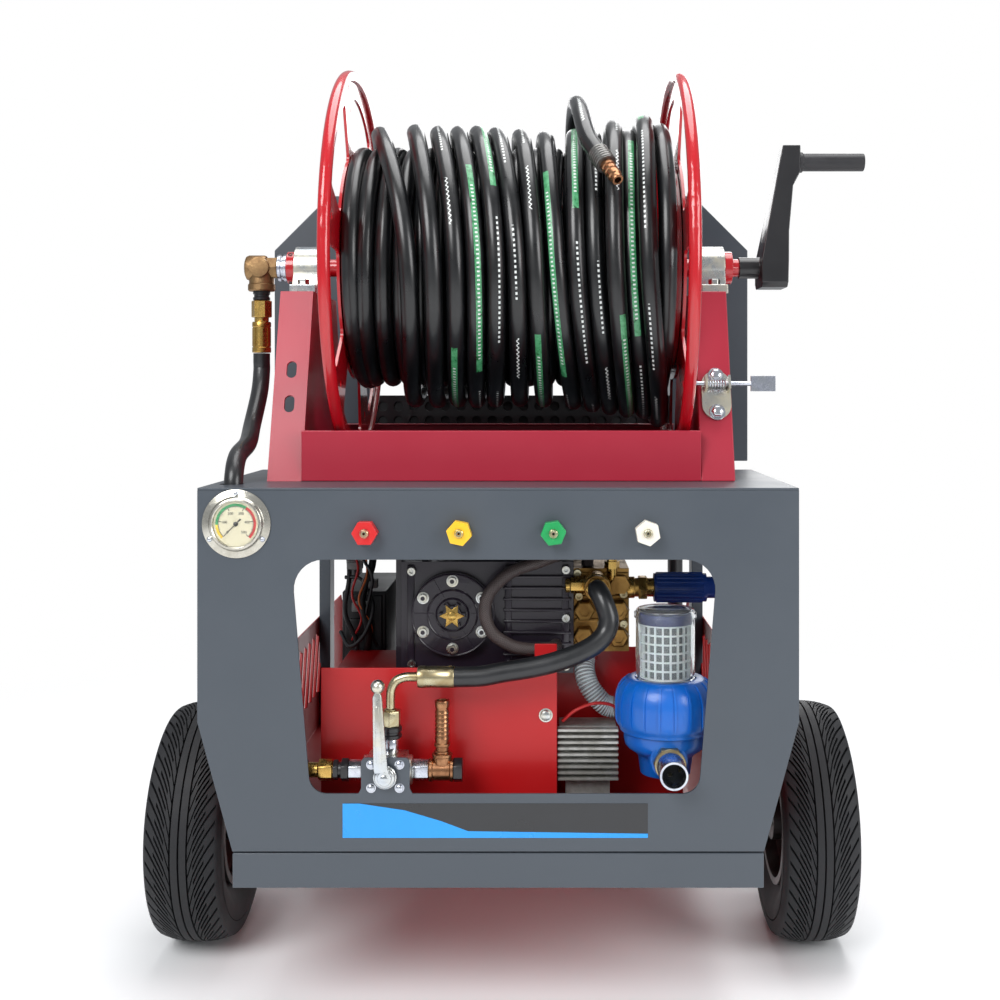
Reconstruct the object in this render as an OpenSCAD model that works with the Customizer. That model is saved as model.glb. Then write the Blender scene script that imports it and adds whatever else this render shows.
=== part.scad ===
/* [Cabinet] */
// Width of the front panel
cab_w = 720; // [680:1:800]
// Height of the deck's top above the floor
deck_z = 653; // [640:1:670]
// Depth of the wide part of the deck
deck_d = 345; // [300:1:380]
// Thickness of the cabinet's sheet steel
sheet_t = 3; // [2:0.5:4]
// Depth of the folded edge of the front panel
panel_lip = 20; // [10:1:22]
// Width of the front panel at its lower edge
sill_w = 636; // [600:1:640]
// Height of the front panel's lower edge
sill_z = 218; // [215:1:230]
// Height at which the panel starts to narrow
taper_z = 373; // [340:1:400]
// Half width of the window at its top, left side
win_left_top = 248; // [240:1:255]
// Half width of the window at its top, right side
win_right_top = 263; // [255:1:270]
// How much each side of the window leans in towards its bottom
win_lean = 23; // [10:1:30]
// Height of the window's lower edge
win_z0 = 287; // [280:1:292]
// Height of the window's upper edge
win_z1 = 567; // [560:1:572]
// Radius of the window's corners
win_r = 36; // [15:1:45]

/* [Chassis] */
// Height of the square chassis tube
rail_h = 38; // [36:1:38]
// Height of the rails' lower face
rail_z = 178; // [178:1:182]
// Distance from the front panel to the end of the rails
rail_len = 900; // [880:1:1000]
// Wall of the chassis tube
rail_wall = 3; // [2:0.5:4]
// Height of the red tray's side walls
tray_h = 180; // [120:1:190]
// Diameter of the wheel axle
axle_d = 24; // [20:1:25]

/* [Wheels] */
// Diameter of the tyres
tyre_d = 324; // [310:1:334]
// Width of the tyres
tyre_w = 100; // [90:1:110]
// Distance from the front panel to the wheel centres
wheel_y = 285; // [235:1:300]
// Gap between the chassis rail and the tyre
wheel_gap = 52; // [40:1:60]
// Diameter of the steel rims
rim_d = 180; // [160:1:200]
// Diameter of the caster wheels
caster_d = 125; // [120:1:127]
// Width of the caster wheels
caster_w = 38; // [30:1:42]

/* [Reel] */
// Height of the reel's axis
reel_z = 943; // [940:1:960]
// Distance from the front panel to the reel's axis
reel_y = 280; // [278:1:290]
// Radius of the reel's flanges
flange_r = 272; // [266:1:274]
// Diameter of the rolled rim of the flanges
flange_rim_d = 16; // [12:1:18]
// Position of the left flange across the machine
flange_left_x = -212; // [-216:1:-208]
// Position of the right flange across the machine
flange_right_x = 238; // [234:1:240]
// Diameter of the reel's shaft
shaft_d = 25; // [20:1:28]
// Radius of the drum
drum_r = 70; // [60:1:90]
// Outer diameter of the jetting hose
hose_d = 24; // [20:1:25]
// Radius of the hose centre in the outer layer
wind_r = 182; // [176:1:186]
// Number of turns in the outer layer
wind_turns = 13; // [8:1:14]
// Number of spokes in a flange, each with a locking hole
spokes = 6; // [5:1:8]
// Height of the lock bracket's centre
lock_height = 763; // [750:1:780]
// Diameter of the lock pin
lock_pin_d = 6; // [5:0.5:7]
// Crank radius from the shaft to the grip
crank_r = 150; // [130:1:165]
// Length of the crank grip
grip_len = 92; // [80:1:110]
// Diameter of the crank grip
grip_d = 25; // [20:1:30]

/* [Water parts] */
// Diameter of the pressure gauge's flange
gauge_d = 82; // [74:1:86]
// Width over the corners of a nozzle's hexagonal body
nozzle_hex = 31; // [26:1:34]
// Diameter of the black pressure hoses
feed_d = 23.5; // [20:0.5:25]
// Outer diameter of the water inlet tube
inlet_d = 34; // [30:1:36]
// Bore of the water inlet tube
inlet_bore = 28; // [22:1:28]
// Radius of the clear filter bowl
bowl_r = 37; // [34:1:38]
// Radius of the blue filter collar
collar_r = 64; // [60:1:66]
// Outer diameter of the clear suction hose
suction_d = 27; // [22:1:30]
// Pitch of the ribs on the suction hose
suction_pitch = 6; // [5:0.5:8]

/* [Hidden] */

// Clearances: between bodies, of a running fit on the radius, and of a skin over its base
gap = 0.3;
run = 0.05;
seat = 0.2;

// Rails and wheels
rail_out = sill_w / 2;
rail_top = rail_z + rail_h;
wheel_r = tyre_d / 2;
wheel_in = rail_out + wheel_gap;
wheel_out = wheel_in + tyre_w;
axle_nut = 14;
axle_len = wheel_out - 30;
hub_r = 30;
caster_r = caster_d / 2;
caster_x = 230;
caster_y = rail_len - 120;
caster_trail = 34;
handle_y = rail_len - 60;
handle_reach = 70;
handle_r = 14;
handle_top = 880;

// Reel and its frame
frame_foot = 175;
frame_head = 92;
frame_in = 256;
frame_out = 300;
frame_t = 4;
frame_top = reel_z - 40;
bar_h = 65;
bar_d = 14;
block_w = 36;
block_r = 30;
left_block_x = -frame_in - 22;
right_block_x = frame_in + 34;
wind_steps = 24;
core_r = wind_r * cos(180 / wind_steps) - hose_d / 2 - seat;
wind_x0 = flange_left_x + flange_rim_d / 2 + hose_d / 2 + 4;
wind_x1 = flange_right_x - flange_rim_d / 2 - hose_d / 2 - 4;
flange_t = 4;
wind_pitch = (wind_x1 - wind_x0) / wind_turns;
crank_x = 330;
grip_x = 416;
grip_end = grip_x + grip_len;

// Reel lock: the bracket sits square on the sloping flange, and its bore sets the pin's line
lock_lean = atan((frame_foot - frame_head) / (frame_top - deck_z));
lock_face = reel_y - frame_foot + (frame_foot - frame_head) * (lock_height - deck_z) / (frame_top - deck_z);
lock_out = 12.5;
lock_up = 12;
lock_pin_y = lock_face - lock_out * cos(lock_lean) + lock_up * sin(lock_lean);
lock_pin_z = lock_height + lock_up * cos(lock_lean) + lock_out * sin(lock_lean);
lock_r = norm([lock_pin_y - reel_y, lock_pin_z - reel_z]);
lock_turn = atan2(lock_pin_y - reel_y, reel_z - lock_pin_z) - 90;
lock_park = 6;
lock_x = frame_in + 24;

// The water elbow beside the left pillow block: its collar's end, and the line of its column
elbow_end = left_block_x - block_w / 2 - 12 - gap;
elbow_x = elbow_end - 38;

// Portal behind the reel
portal_y = 566;
portal_d = 40;
portal_w = 780;
portal_leg = 156;
portal_top = 1090;
portal_cut = 90;
portal_band = 80;
shelf_z = 800;
post_w = 18;
tray_t = 2;

// Water parts
valve_x = -135;
valve_z = 308;
valve_y = 26;
lever_y = -12;
gauge_x = -313;
gauge_z = 610;
nozzle_z = 600;
nozzle_x = [-158, -46, 66, 178];
pump_z = 481;
pump_x = -63;
pump_y0 = 112;
pump_y1 = 300;
pump_h = 144;
head_z = 430;
head_h = 108;
cover_t = 10;
cover_r = 54;
filter_x = 207;
filter_y = 75;
inlet_z = 318;
inlet_x = 207;
inlet_front = 34;
unloader_y = 140;
unloader_z = 512;
outlet_x = 122;
outlet_z = 519;
outlet_y = 84;
// Centre of the whole machine, which the origin stands under
mid_x = (grip_end - wheel_out) / 2;
mid_y = (handle_y + handle_reach + handle_r - inlet_front) / 2;

// Engine and the red housing under the pump
engine_y0 = 330;
engine_y1 = 790;
box_x0 = -224;
box_x1 = 43;
box_y0 = 66;
box_y1 = 304;
box_top = 396;
box_lip = 27;

// Routes of the hoses the machine holds, from fitting to fitting
feed_x = 26 - cab_w / 2;
feed_z = reel_z - 120;
feed_route = [[elbow_x, reel_y, feed_z - 1], [elbow_x, reel_y, feed_z - 12], [elbow_x, reel_y, feed_z - 27],
    [elbow_x + 1, reel_y - 18, (2 * feed_z + deck_z) / 3], [elbow_x + 2, reel_y - 66,
        (feed_z + deck_z) / 2 - 16],
    [feed_x - 3, 150, deck_z + 47], [feed_x - 2, 92, deck_z + 33], [feed_x, 64, deck_z + 9],
    [feed_x, 62, deck_z - 23], [feed_x, 62, deck_z - 53], [feed_x + 2, 56, deck_z - 103],
    [feed_x + 8, 44, 490], [feed_x + 18, 32, 430], [feed_x + 30, valve_y, 370], [-288, valve_y, valve_z + 21],
    [-262, valve_y, valve_z + 1], [-246, valve_y, valve_z], [-233, valve_y, valve_z]];
delivery_z = 421;
delivery_route = [[-54, valve_y, delivery_z], [-45, valve_y, delivery_z], [-20, valve_y, delivery_z + 1],
    [4, 28, 426], [38, 30, 431], [66, 32, 437], [95, 37, 446], [118, 44, 457], [131, 50, 470], [135, 53, 485],
    [131, 57, 501], [126, 63, 513], [outlet_x, 70, outlet_z], [outlet_x, 77, outlet_z],
    [outlet_x, outlet_y - 1, outlet_z]];
bypass_d = 16;
bypass_y = 92;
bypass_route = [[112, 150, head_z + head_h + 0.9], [112, 150, 543], [111.5, 148.5, 549], [109, 142,
    557], [100, 126, 562], [80, 108, 561],
    [50, 94, 552], [12, bypass_y, 538], [-14, bypass_y, 513], [-20, bypass_y, 487], [-11, bypass_y, 462],
    [12, bypass_y, 446], [36, bypass_y, 441], [54, 95, 441], [66, 104, 441], [70, 112, 441], [70, 121, 441]];
suction_route = [[146, 116, 362], [139, 116, 362], [130, 116, 367], [120, 117, 378], [112, 120, 390],
    [108, 127, 402], [107.5, 138, 412], [109, 147, 419], [109, 150, 424], [109, 150, head_z - 0.8]];
tail_route = [[97, 443.9, 1064.5], [98, 415, 1107], [98, 360, 1148], [99, 290, 1170], [101, 222, 1164],
    [104, 172, 1141], [107.5, 142, 1116], [113.8, 116, 1090], [119.4, 106.4, 1080], [123.2, 100, 1073.3]];
tail_tip = [146.8, 60, 1031.2];

// A closed outline with each corner rounded to its own radius, for turns to the left
function turn_arc(p, a, b, r, n = 8) =
    let (u = (a - p) / norm(a - p), v = (b - p) / norm(b - p),
        half = acos(u * v) / 2,
        c = p + (u + v) / norm(u + v) * r / sin(half),
        s = p + u * r / tan(half) - c,
        e = p + v * r / tan(half) - c,
        sweep = 180 - 2 * half,
        side = sign(s[0] * e[1] - s[1] * e[0]))
    r < 0.1 ? [p] : [for (i = [0 : n]) let (t = side * sweep * i / n)
        c + [s[0] * cos(t) - s[1] * sin(t), s[0] * sin(t) + s[1] * cos(t)]];
function rounded(pts, radii) = [for (i = [0 : len(pts) - 1])
    each turn_arc(pts[i], pts[(i + len(pts) - 1) % len(pts)], pts[(i + 1) % len(pts)], radii[i])];

// Frames along a route: the direction at each point, and a side vector carried along it
function unit(v) = v / norm(v);
function heading(p, i) = i == 0 ? unit(p[1] - p[0])
    : i == len(p) - 1 ? unit(p[i] - p[i - 1])
    : unit(unit(p[i + 1] - p[i]) + unit(p[i] - p[i - 1]));
function square_to(s, t) = unit(s - t * (s * t));
function sides(p, s, i = 0) = i == len(p) ? []
    : let (n = square_to(s, heading(p, i))) concat([n], sides(p, n, i + 1));
// A smooth run of points through a route, n to each span
function spline(p, n = 2) = concat([for (i = [0 : len(p) - 2], k = [0 : n - 1])
    let (a = p[max(i - 1, 0)], b = p[i], c = p[i + 1], d = p[min(i + 2, len(p) - 1)], t = k / n)
    0.5 * (2 * b + (c - a) * t + (2 * a - 5 * b + 4 * c - d) * t * t
        + (3 * b - a - 3 * c + d) * t * t * t)], [p[len(p) - 1]]);

// One unbroken tube along points, with a radius for each ring
module tube_along(p, radii, n = 10, first = [0.31, 0.17, 0.94]) {
    sd = sides(p, first);
    rings = [for (i = [0 : len(p) - 1]) let (t = heading(p, i), u = sd[i], v = cross(t, u))
        for (k = [0 : n - 1]) p[i] + radii[i] * (u * cos(360 * k / n) + v * sin(360 * k / n))];
    walls = [for (i = [0 : len(p) - 2], k = [0 : n - 1])
        let (a = i * n + k, b = i * n + (k + 1) % n)
        each [[a, a + n, b + n], [a, b + n, b]]];
    last = (len(p) - 1) * n;
    ends = [for (k = [1 : n - 2]) each [[0, k, k + 1], [last, last + k + 1, last + k]]];
    polyhedron(concat(rings), concat(walls, ends));
}

module hose_along(p, d, n = 10) {
    q = spline(p);
    tube_along(q, [for (i = q) d / 2], n);
}

// Placing: the model is drawn from the front panel's face and moved to its origin here
module place() {
    translate([-mid_x, -mid_y, 0]) children();
}

// A cylinder along X or along Y, from a start point
module rod_x(d, l, fn = 48) {
    rotate([0, 90, 0]) cylinder(d = d, h = l, $fn = fn);
}
module rod_y(d, l, fn = 48) {
    rotate([-90, 0, 0]) cylinder(d = d, h = l, $fn = fn);
}
module box(from, to) {
    translate(from) cube(to - from);
}
// A flat outline drawn in X and Z, thickened towards +Y
module upright(y, t) {
    translate([0, y + t, 0]) rotate([90, 0, 0]) linear_extrude(t) children();
}
// A flat outline drawn in Y and Z, thickened towards +X
module sideways(x, t) {
    translate([x, 0, 0]) rotate([90, 0, 90]) linear_extrude(t) children();
}

// Chassis
module chassis_frame() {
    color("#3c4045") place() {
        for (s = [-1, 1]) rail(s);
        difference() {
            box([-rail_out + rail_h, rail_len - rail_h, rail_z], [rail_out - rail_h, rail_len, rail_top]);
            box([-rail_out + rail_h, rail_len - rail_h + rail_wall, rail_z + rail_wall],
                [rail_out - rail_h, rail_len - rail_wall, rail_top - rail_wall]);
        }
        for (s = [-1, 1]) caster_beam(s);
    }
}

module rail(s) {
    difference() {
        union() {
            box([min(s * rail_out, s * (rail_out - rail_h)), rail_h + 4, rail_z],
                [max(s * rail_out, s * (rail_out - rail_h)), rail_len, rail_top]);
            translate([s * (rail_out - rail_h / 2), wheel_y, wheel_r])
                for (k = [-1, 1]) box([-rail_h / 2, -34, -22], [rail_h / 2, 34, rail_z - wheel_r]);
        }
        box([s * (rail_out - rail_h / 2) - rail_h / 2 + rail_wall, rail_h + 4 + rail_wall,
            rail_z + rail_wall],
            [s * (rail_out - rail_h / 2) + rail_h / 2 - rail_wall, rail_len - rail_wall,
                rail_top - rail_wall]);
        translate([-cab_w / 2, wheel_y, wheel_r]) rod_x(axle_d, cab_w);
    }
}

module caster_beam(s) {
    x = s * caster_x;
    box([x - 50, caster_y - 50, rail_z], [x + 50, caster_y + 50, rail_z + 8]);
    box([min(x, s * (rail_out - rail_h)), caster_y - 20, rail_z + 8],
        [max(x, s * (rail_out - rail_h)), caster_y + 20, rail_top]);
    translate([x, caster_y, rail_z - 10]) cylinder(d = 30, h = 10);
}

module front_crossbar() {
    color("#4e545b") place() difference() {
        box([-rail_out, 0, sill_z - 44], [rail_out, rail_h + 4, sill_z - 2]);
        box([-rail_out + 4, 3, sill_z - 41], [rail_out - 4, rail_h + 1, sill_z - 5]);
    }
}

module tray() {
    louvers = [for (y = [120 : 34 : 900]) y];
    color("#a80f18") place() difference() {
        union() {
            box([-rail_out, rail_h + 4, rail_top], [rail_out, rail_len, rail_top + sheet_t]);
            for (s = [-1, 1]) sideways(s > 0 ? rail_out - tray_t : -rail_out, tray_t)
                polygon([[rail_h + 4, rail_top], [rail_len, rail_top], [rail_len, rail_top + 60],
                    [engine_y1, rail_top + tray_h], [rail_h + 4, rail_top + tray_h]]);
        }
        for (y = louvers, s = [-1, 1]) if (y < engine_y1 - 60)
            translate([s * rail_out, y, rail_top + tray_h * 0.6]) rotate([-20, 0, 0])
                box([-8, -5, -tray_h * 0.28], [8, 5, tray_h * 0.28]);
    }
}

module window_outline() {
    polygon(rounded([[-win_left_top, win_z1], [-win_left_top + win_lean, win_z0],
        [win_right_top - win_lean, win_z0], [win_right_top, win_z1]],
        [win_r, win_r * 0.6, win_r * 0.6, win_r]));
}

module panel_outline(inset = 0) {
    polygon([[-cab_w / 2 + inset, deck_z - sheet_t], [-cab_w / 2 + inset, taper_z],
        [-sill_w / 2 + inset, sill_z + inset], [sill_w / 2 - inset, sill_z + inset],
        [cab_w / 2 - inset, taper_z], [cab_w / 2 - inset, deck_z - sheet_t]]);
}

module front_panel() {
    tab = [[valve_x - 33, win_z0 - 1], [valve_x - 29, win_z0 + 6], [valve_x - 29, valve_z + 22],
        [valve_x + 29, valve_z + 22], [valve_x + 29, win_z0 + 6], [valve_x + 33, win_z0 - 1]];
    color("#5a6068") place() difference() {
        union() {
            upright(0, sheet_t) difference() {
                panel_outline();
                window_outline();
            }
            upright(0, sheet_t) polygon(rounded(tab, [0, 8, 6, 6, 8, 0]));
            upright(0, panel_lip) difference() {
                panel_outline();
                panel_outline(sheet_t);
                translate([-cab_w / 2, deck_z - sheet_t]) square([cab_w, sheet_t]);
            }
        }
        translate([gauge_x, -1, gauge_z]) rod_y(gauge_d - 20, sheet_t + 2);
        for (x = nozzle_x) translate([x, -1, nozzle_z]) rod_y(12, sheet_t + 2);
        translate([valve_x, -1, valve_z]) rod_y(13, sheet_t + 2);
        for (x = [-17, 17], z = [-14, 14]) translate([valve_x + x, -1, valve_z + z]) rod_y(6, sheet_t + 2);
    }
}

module deck_plate() {
    color("#666d75") place() difference() {
        union() {
            translate([0, 0, deck_z - sheet_t]) linear_extrude(sheet_t) polygon([[-cab_w / 2, 0],
                [cab_w / 2, 0], [cab_w / 2, deck_d], [rail_out, deck_d], [rail_out, portal_y + portal_d],
                [-rail_out, portal_y + portal_d], [-rail_out, deck_d], [-cab_w / 2, deck_d]]);
            for (s = [-1, 1]) {
                box([s > 0 ? cab_w / 2 - sheet_t : -cab_w / 2, panel_lip + gap, deck_z - 30],
                    [s > 0 ? cab_w / 2 : -cab_w / 2 + sheet_t, deck_d, deck_z - sheet_t]);
                x = s > 0 ? rail_out - tray_t - post_w : -rail_out + tray_t;
                box([x, portal_y, rail_top + sheet_t], [x + post_w, portal_y + portal_d, deck_z - sheet_t]);
            }
        }
        translate([feed_route[8][0], feed_route[8][1], deck_z - 10]) cylinder(d = feed_d + 6, h = 20);
    }
}

module portal_outline(inset) {
    w = portal_w / 2 - inset;
    polygon([[-w, deck_z], [-w, portal_top - portal_cut - inset / 2], [-w + portal_cut - inset / 2,
        portal_top - inset],
        [w - portal_cut + inset / 2, portal_top - inset], [w, portal_top - portal_cut - inset / 2],
            [w, deck_z]]);
}

module rear_portal() {
    leg = portal_w / 2 - portal_leg;
    color("#50565e") place() {
        upright(portal_y, sheet_t) difference() {
            portal_outline(0);
            translate([-leg, deck_z - 1]) square([2 * leg, portal_top - portal_band - deck_z + 1]);
        }
        upright(portal_y, portal_d) difference() {
            portal_outline(0);
            portal_outline(sheet_t);
            translate([-portal_w, deck_z - 1]) square([2 * portal_w, 50]);
        }
        for (s = [-1, 1]) {
            x = s > 0 ? leg : -leg - sheet_t;
            box([x, portal_y, deck_z], [x + sheet_t, portal_y + portal_d, portal_top - portal_band]);
            box([s > 0 ? leg + 20 : -leg - 23, portal_y + sheet_t, shelf_z - 40],
                [s > 0 ? leg + 23 : -leg - 20, portal_y + 290, shelf_z]);
        }
        box([-leg - 23, portal_y + portal_d + 16, shelf_z], [leg + 23, portal_y + 290, shelf_z + sheet_t]);
    }
}

module grille_guard() {
    leg = portal_w / 2 - portal_leg;
    color("#17181a") place() difference() {
        box([-leg + gap, portal_y + 20, deck_z], [leg - gap, portal_y + 22, deck_z + 108]);
        for (x = [-leg + 20 : 26 : leg - 20], z = [18 : 24 : 92])
            translate([x, portal_y + 18, deck_z + z]) rod_y(16, 6, 24);
    }
}

module push_handle() {
    x = rail_out - rail_h / 2;
    color("#1d1e20") place() {
        for (s = [-1, 1]) {
            translate([s * x, handle_y, rail_top + sheet_t]) cylinder(r = handle_r,
                h = handle_top - rail_top - sheet_t);
            translate([s * x, handle_y, handle_top]) sphere(r = handle_r);
            translate([s * x, handle_y, handle_top]) rod_y(2 * handle_r, handle_reach);
            translate([s * x, handle_y + handle_reach, handle_top]) sphere(r = handle_r);
        }
        translate([-x, handle_y + handle_reach, handle_top]) rod_x(2 * handle_r, 2 * x);
    }
}

module axle() {
    color("#9a9da0") place() {
        translate([-axle_len, wheel_y, wheel_r]) rod_x(axle_d, 2 * axle_len);
        for (s = [-1, 1]) translate([s > 0 ? axle_len : -axle_len - axle_nut, wheel_y, wheel_r])
            rod_x(36, axle_nut, 6);
    }
}

// Wheels, drawn round X from their inner face outwards
module tyre() {
    bead = rim_d / 2;
    h = wheel_r;
    rotate([0, 90, 0]) rotate_extrude($fn = 96) polygon(rounded([[bead + seat, 12], [h - 16, 0], [h, 20],
        [h, tyre_w - 20], [h - 16, tyre_w], [bead + seat, tyre_w - 12], [bead + seat, tyre_w - 24],
        [bead + 24, tyre_w - 24], [bead + 24, 24], [bead + seat, 24]], [2, 10, 12, 12, 10, 2, 2, 6, 6, 2]));
}

module rim() {
    b = rim_d / 2;
    rotate([0, 90, 0]) rotate_extrude($fn = 96) polygon([[axle_d / 2 + run, 6], [hub_r, 6],
        [hub_r, tyre_w / 2 - 3], [b - 24, tyre_w / 2 - 3], [b - 10, 26], [b - 10, 8], [b, 8],
        [b, tyre_w - 8], [b - 10, tyre_w - 8], [b - 10, 40], [b - 24, tyre_w / 2 + 3],
        [hub_r, tyre_w / 2 + 3], [hub_r, tyre_w - 32], [axle_d / 2 + run, tyre_w - 32]]);
}

module wheel_at(s) {
    translate([s * wheel_in, wheel_y, wheel_r]) mirror([s < 0 ? 1 : 0, 0, 0]) children();
}

module tyre_left() {
    color("#1b1c20") place() wheel_at(-1) tyre();
}

module rim_left() {
    color("#55524f") place() wheel_at(-1) rim();
}

module tyre_right() {
    color("#1b1c20") place() wheel_at(1) tyre();
}

module rim_right() {
    color("#55524f") place() wheel_at(1) rim();
}

// Casters: the fork swivels under the beam, the wheel turns on its pin
fork_top = rail_z - 10 - gap;
module caster_fork(s) {
    translate([s * caster_x, caster_y, 0]) {
        translate([0, 0, fork_top - 6]) cylinder(d = 54, h = 6);
        for (k = [-1, 1]) {
            x = k > 0 ? caster_w / 2 + 2 : -caster_w / 2 - 6;
            sideways(x, 4) polygon([[-24, fork_top - 6], [24, fork_top - 6], [caster_trail + 16,
                caster_r + 6],
                [caster_trail + 10, caster_r - 14], [caster_trail - 10, caster_r - 14], [-20,
                    fork_top - 20]]);
        }
        translate([-caster_w / 2 - 6, caster_trail, caster_r]) rod_x(12, caster_w + 12);
        translate([-caster_w / 2 - 6, -24, fork_top - 12]) cube([caster_w + 12, 48, 6]);
    }
}

module caster_wheel(s) {
    translate([s * caster_x - caster_w / 2, caster_y + caster_trail, caster_r]) rotate([0, 90, 0])
        rotate_extrude($fn = 72) polygon(rounded([[6 + run, 0], [16, 0], [16, 6], [caster_r - 16, 6],
            [caster_r - 14, 0], [caster_r, 6], [caster_r, caster_w - 6], [caster_r - 14, caster_w],
            [caster_r - 16, caster_w - 6], [16, caster_w - 6], [16, caster_w], [6 + run, caster_w]],
            [0, 0, 0, 0, 0, 4, 4, 0, 0, 0, 0, 0]));
}

module caster_fork_left() {
    color("#8d9196") place() caster_fork(-1);
}

module caster_wheel_left() {
    color("#26272a") place() caster_wheel(-1);
}

module caster_fork_right() {
    color("#8d9196") place() caster_fork(1);
}

module caster_wheel_right() {
    color("#26272a") place() caster_wheel(1);
}

// Reel frame: a folded trapezoid at each side, with slots in its sloping flanges
module slot_cut(y, z, lean) {
    translate([0, y, z]) rotate([lean, 0, 0]) hull() {
        for (k = [-5, 5]) translate([0, -14, k]) rod_y(13, 28, 24);
    }
}

module reel_frame_side(s) {
    y0 = reel_y - frame_foot;
    y1 = reel_y + frame_foot;
    h0 = reel_y - frame_head;
    h1 = reel_y + frame_head;
    lean = lock_lean;
    web = s > 0 ? frame_in : -frame_in - frame_t;
    inner = s > 0 ? frame_in : -frame_out;
    rise = frame_top - deck_z;
    difference() {
        union() {
            sideways(web, frame_t) polygon([[y0, deck_z], [y1, deck_z], [h1, frame_top], [h0, frame_top]]);
            sideways(inner, frame_out - frame_in) {
                polygon([[y0, deck_z], [y0 + frame_t, deck_z], [h0 + frame_t, frame_top], [h0, frame_top]]);
                polygon([[y1 - frame_t, deck_z], [y1, deck_z], [h1, frame_top], [h1 - frame_t, frame_top]]);
            }
            box([inner, h0, frame_top - frame_t], [inner + frame_out - frame_in, h1, frame_top]);
        }
        for (z = [752, 797]) {
            t = (z - deck_z) / rise;
            x = s > 0 ? frame_in + 22 : -frame_in - 22;
            if (s < 0) translate([x, 0, 0]) slot_cut(y0 + (h0 - y0) * t, z, -lean);
            translate([x, 0, 0]) slot_cut(y1 + (h1 - y1) * t, z, lean);
        }
    }
}

module reel_frame_left() {
    color("#d02a45") place() reel_frame_side(-1);
}

module reel_frame_right() {
    color("#d02a45") place() reel_frame_side(1);
}

module reel_frame_bar() {
    color("#d8304d") place() for (y = [reel_y - frame_foot, reel_y + frame_foot - bar_d])
        difference() {
            box([-frame_in, y, deck_z], [frame_in, y + bar_d, deck_z + bar_h]);
            box([-frame_in - 1, y + (y < reel_y ? 3 : -1), deck_z - 1],
                [frame_in + 1, y + (y < reel_y ? bar_d + 1 : bar_d - 3), deck_z + bar_h - 3]);
        }
}

// Pillow blocks with their bearings and bolts
module pillow_block(x) {
    translate([x - block_w / 2, reel_y, 0]) difference() {
        union() {
            translate([0, 0, reel_z]) rod_x(2 * block_r, block_w, 64);
            sideways(0, block_w) polygon([[-56, frame_top], [56, frame_top], [56, frame_top + 12],
                [34, frame_top + 14], [26, reel_z], [-26, reel_z], [-34, frame_top + 14], [-56,
                    frame_top + 12]]);
            for (k = [-1, 1]) translate([block_w / 2, k * 46, frame_top + 12]) cylinder(d = 17,
                h = 8, $fn = 6);
        }
        translate([-1, 0, reel_z]) rod_x(shaft_d + 2 * run, block_w + 2, 64);
    }
}

module pillow_blocks() {
    color("#c9c6bb") place() {
        pillow_block(left_block_x);
        pillow_block(right_block_x);
    }
}

// Reel, hose and crank turn together
module reel_drum() {
    x0 = left_block_x - block_w / 2;
    color("#9fa3a6") place() translate([0, reel_y, reel_z]) {
        translate([x0 - 12, 0, 0]) rod_x(shaft_d, crank_x - x0 + 44, 64);
        translate([flange_left_x + flange_t / 2, 0, 0]) difference() {
            rod_x(2 * drum_r, flange_right_x - flange_left_x - flange_t, 96);
            translate([8, 0, 0]) rod_x(2 * drum_r - 8, flange_right_x - flange_left_x - 20, 96);
        }
        translate([x0 - 12, 0, 0]) rod_x(46, 11, 48);
        translate([right_block_x + block_w / 2 + 1, 0, 0]) rod_x(46, 11, 48);
    }
}

module flange(x) {
    translate([x, reel_y, reel_z]) rotate([0, 90, 0]) difference() {
        union() {
            translate([0, 0, -flange_t / 2]) cylinder(r = flange_r - flange_rim_d / 2, h = flange_t,
                $fn = 120);
            rotate_extrude($fn = 120) translate([flange_r - flange_rim_d / 2, 0])
                circle(d = flange_rim_d, $fn = 20);
        }
        translate([0, 0, -flange_t]) cylinder(d = shaft_d + 2 * seat, h = 2 * flange_t);
        for (i = [0 : spokes - 1]) rotate(lock_turn + i * 360 / spokes) {
            rotate(180 / spokes) flange_window();
            translate([0, lock_r, -flange_t]) cylinder(d = lock_pin_d + 3, h = 2 * flange_t, $fn = 24);
        }
    }
}

// The opening between two spokes, with the spoke's width left on either side
module flange_window() {
    r0 = 158;
    r1 = flange_r - 36;
    a = 180 / spokes - asin(26 / r0);
    translate([0, 0, -flange_t]) linear_extrude(2 * flange_t) polygon(rounded(concat(
        [for (k = [-4 : 4]) r1 * [sin(a * k / 4), cos(a * k / 4)]],
        [for (k = [4 : -1 : -4]) r0 * [sin(a * k / 4), cos(a * k / 4)]]),
        [10, 0, 0, 0, 0, 0, 0, 0, 10, 10, 0, 0, 0, 0, 0, 0, 0, 10]));
}

module reel_flange_left() {
    color("#c4122a") place() flange(flange_left_x);
}

module reel_flange_right() {
    color("#c4122a") place() flange(flange_right_x);
}

module hose_core() {
    x0 = flange_left_x + flange_t / 2 + gap;
    color("#141517") place() translate([x0, reel_y, reel_z]) difference() {
        rod_x(2 * core_r, flange_right_x - flange_left_x - flange_t - 2 * gap, 96);
        translate([-1, 0, 0]) rod_x(2 * drum_r + 2 * seat, flange_right_x - flange_left_x, 96);
    }
}

// The outer layer: one tube that winds from flange to flange at a steady pitch
wind_points = [for (i = [0 : wind_turns * wind_steps]) let (a = 360 * i / wind_steps + 70)
    [wind_x0 + wind_pitch * i / wind_steps, reel_y - wind_r * cos(a), reel_z + wind_r * sin(a)]];

module hose_winding() {
    color("#18191c") place() tube_along(wind_points, [for (p = wind_points) hose_d / 2], 6, [1, 0, 0]);
}

module hose_tail() {
    color("#18191c") place() hose_along(tail_route, hose_d, 10);
}

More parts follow.
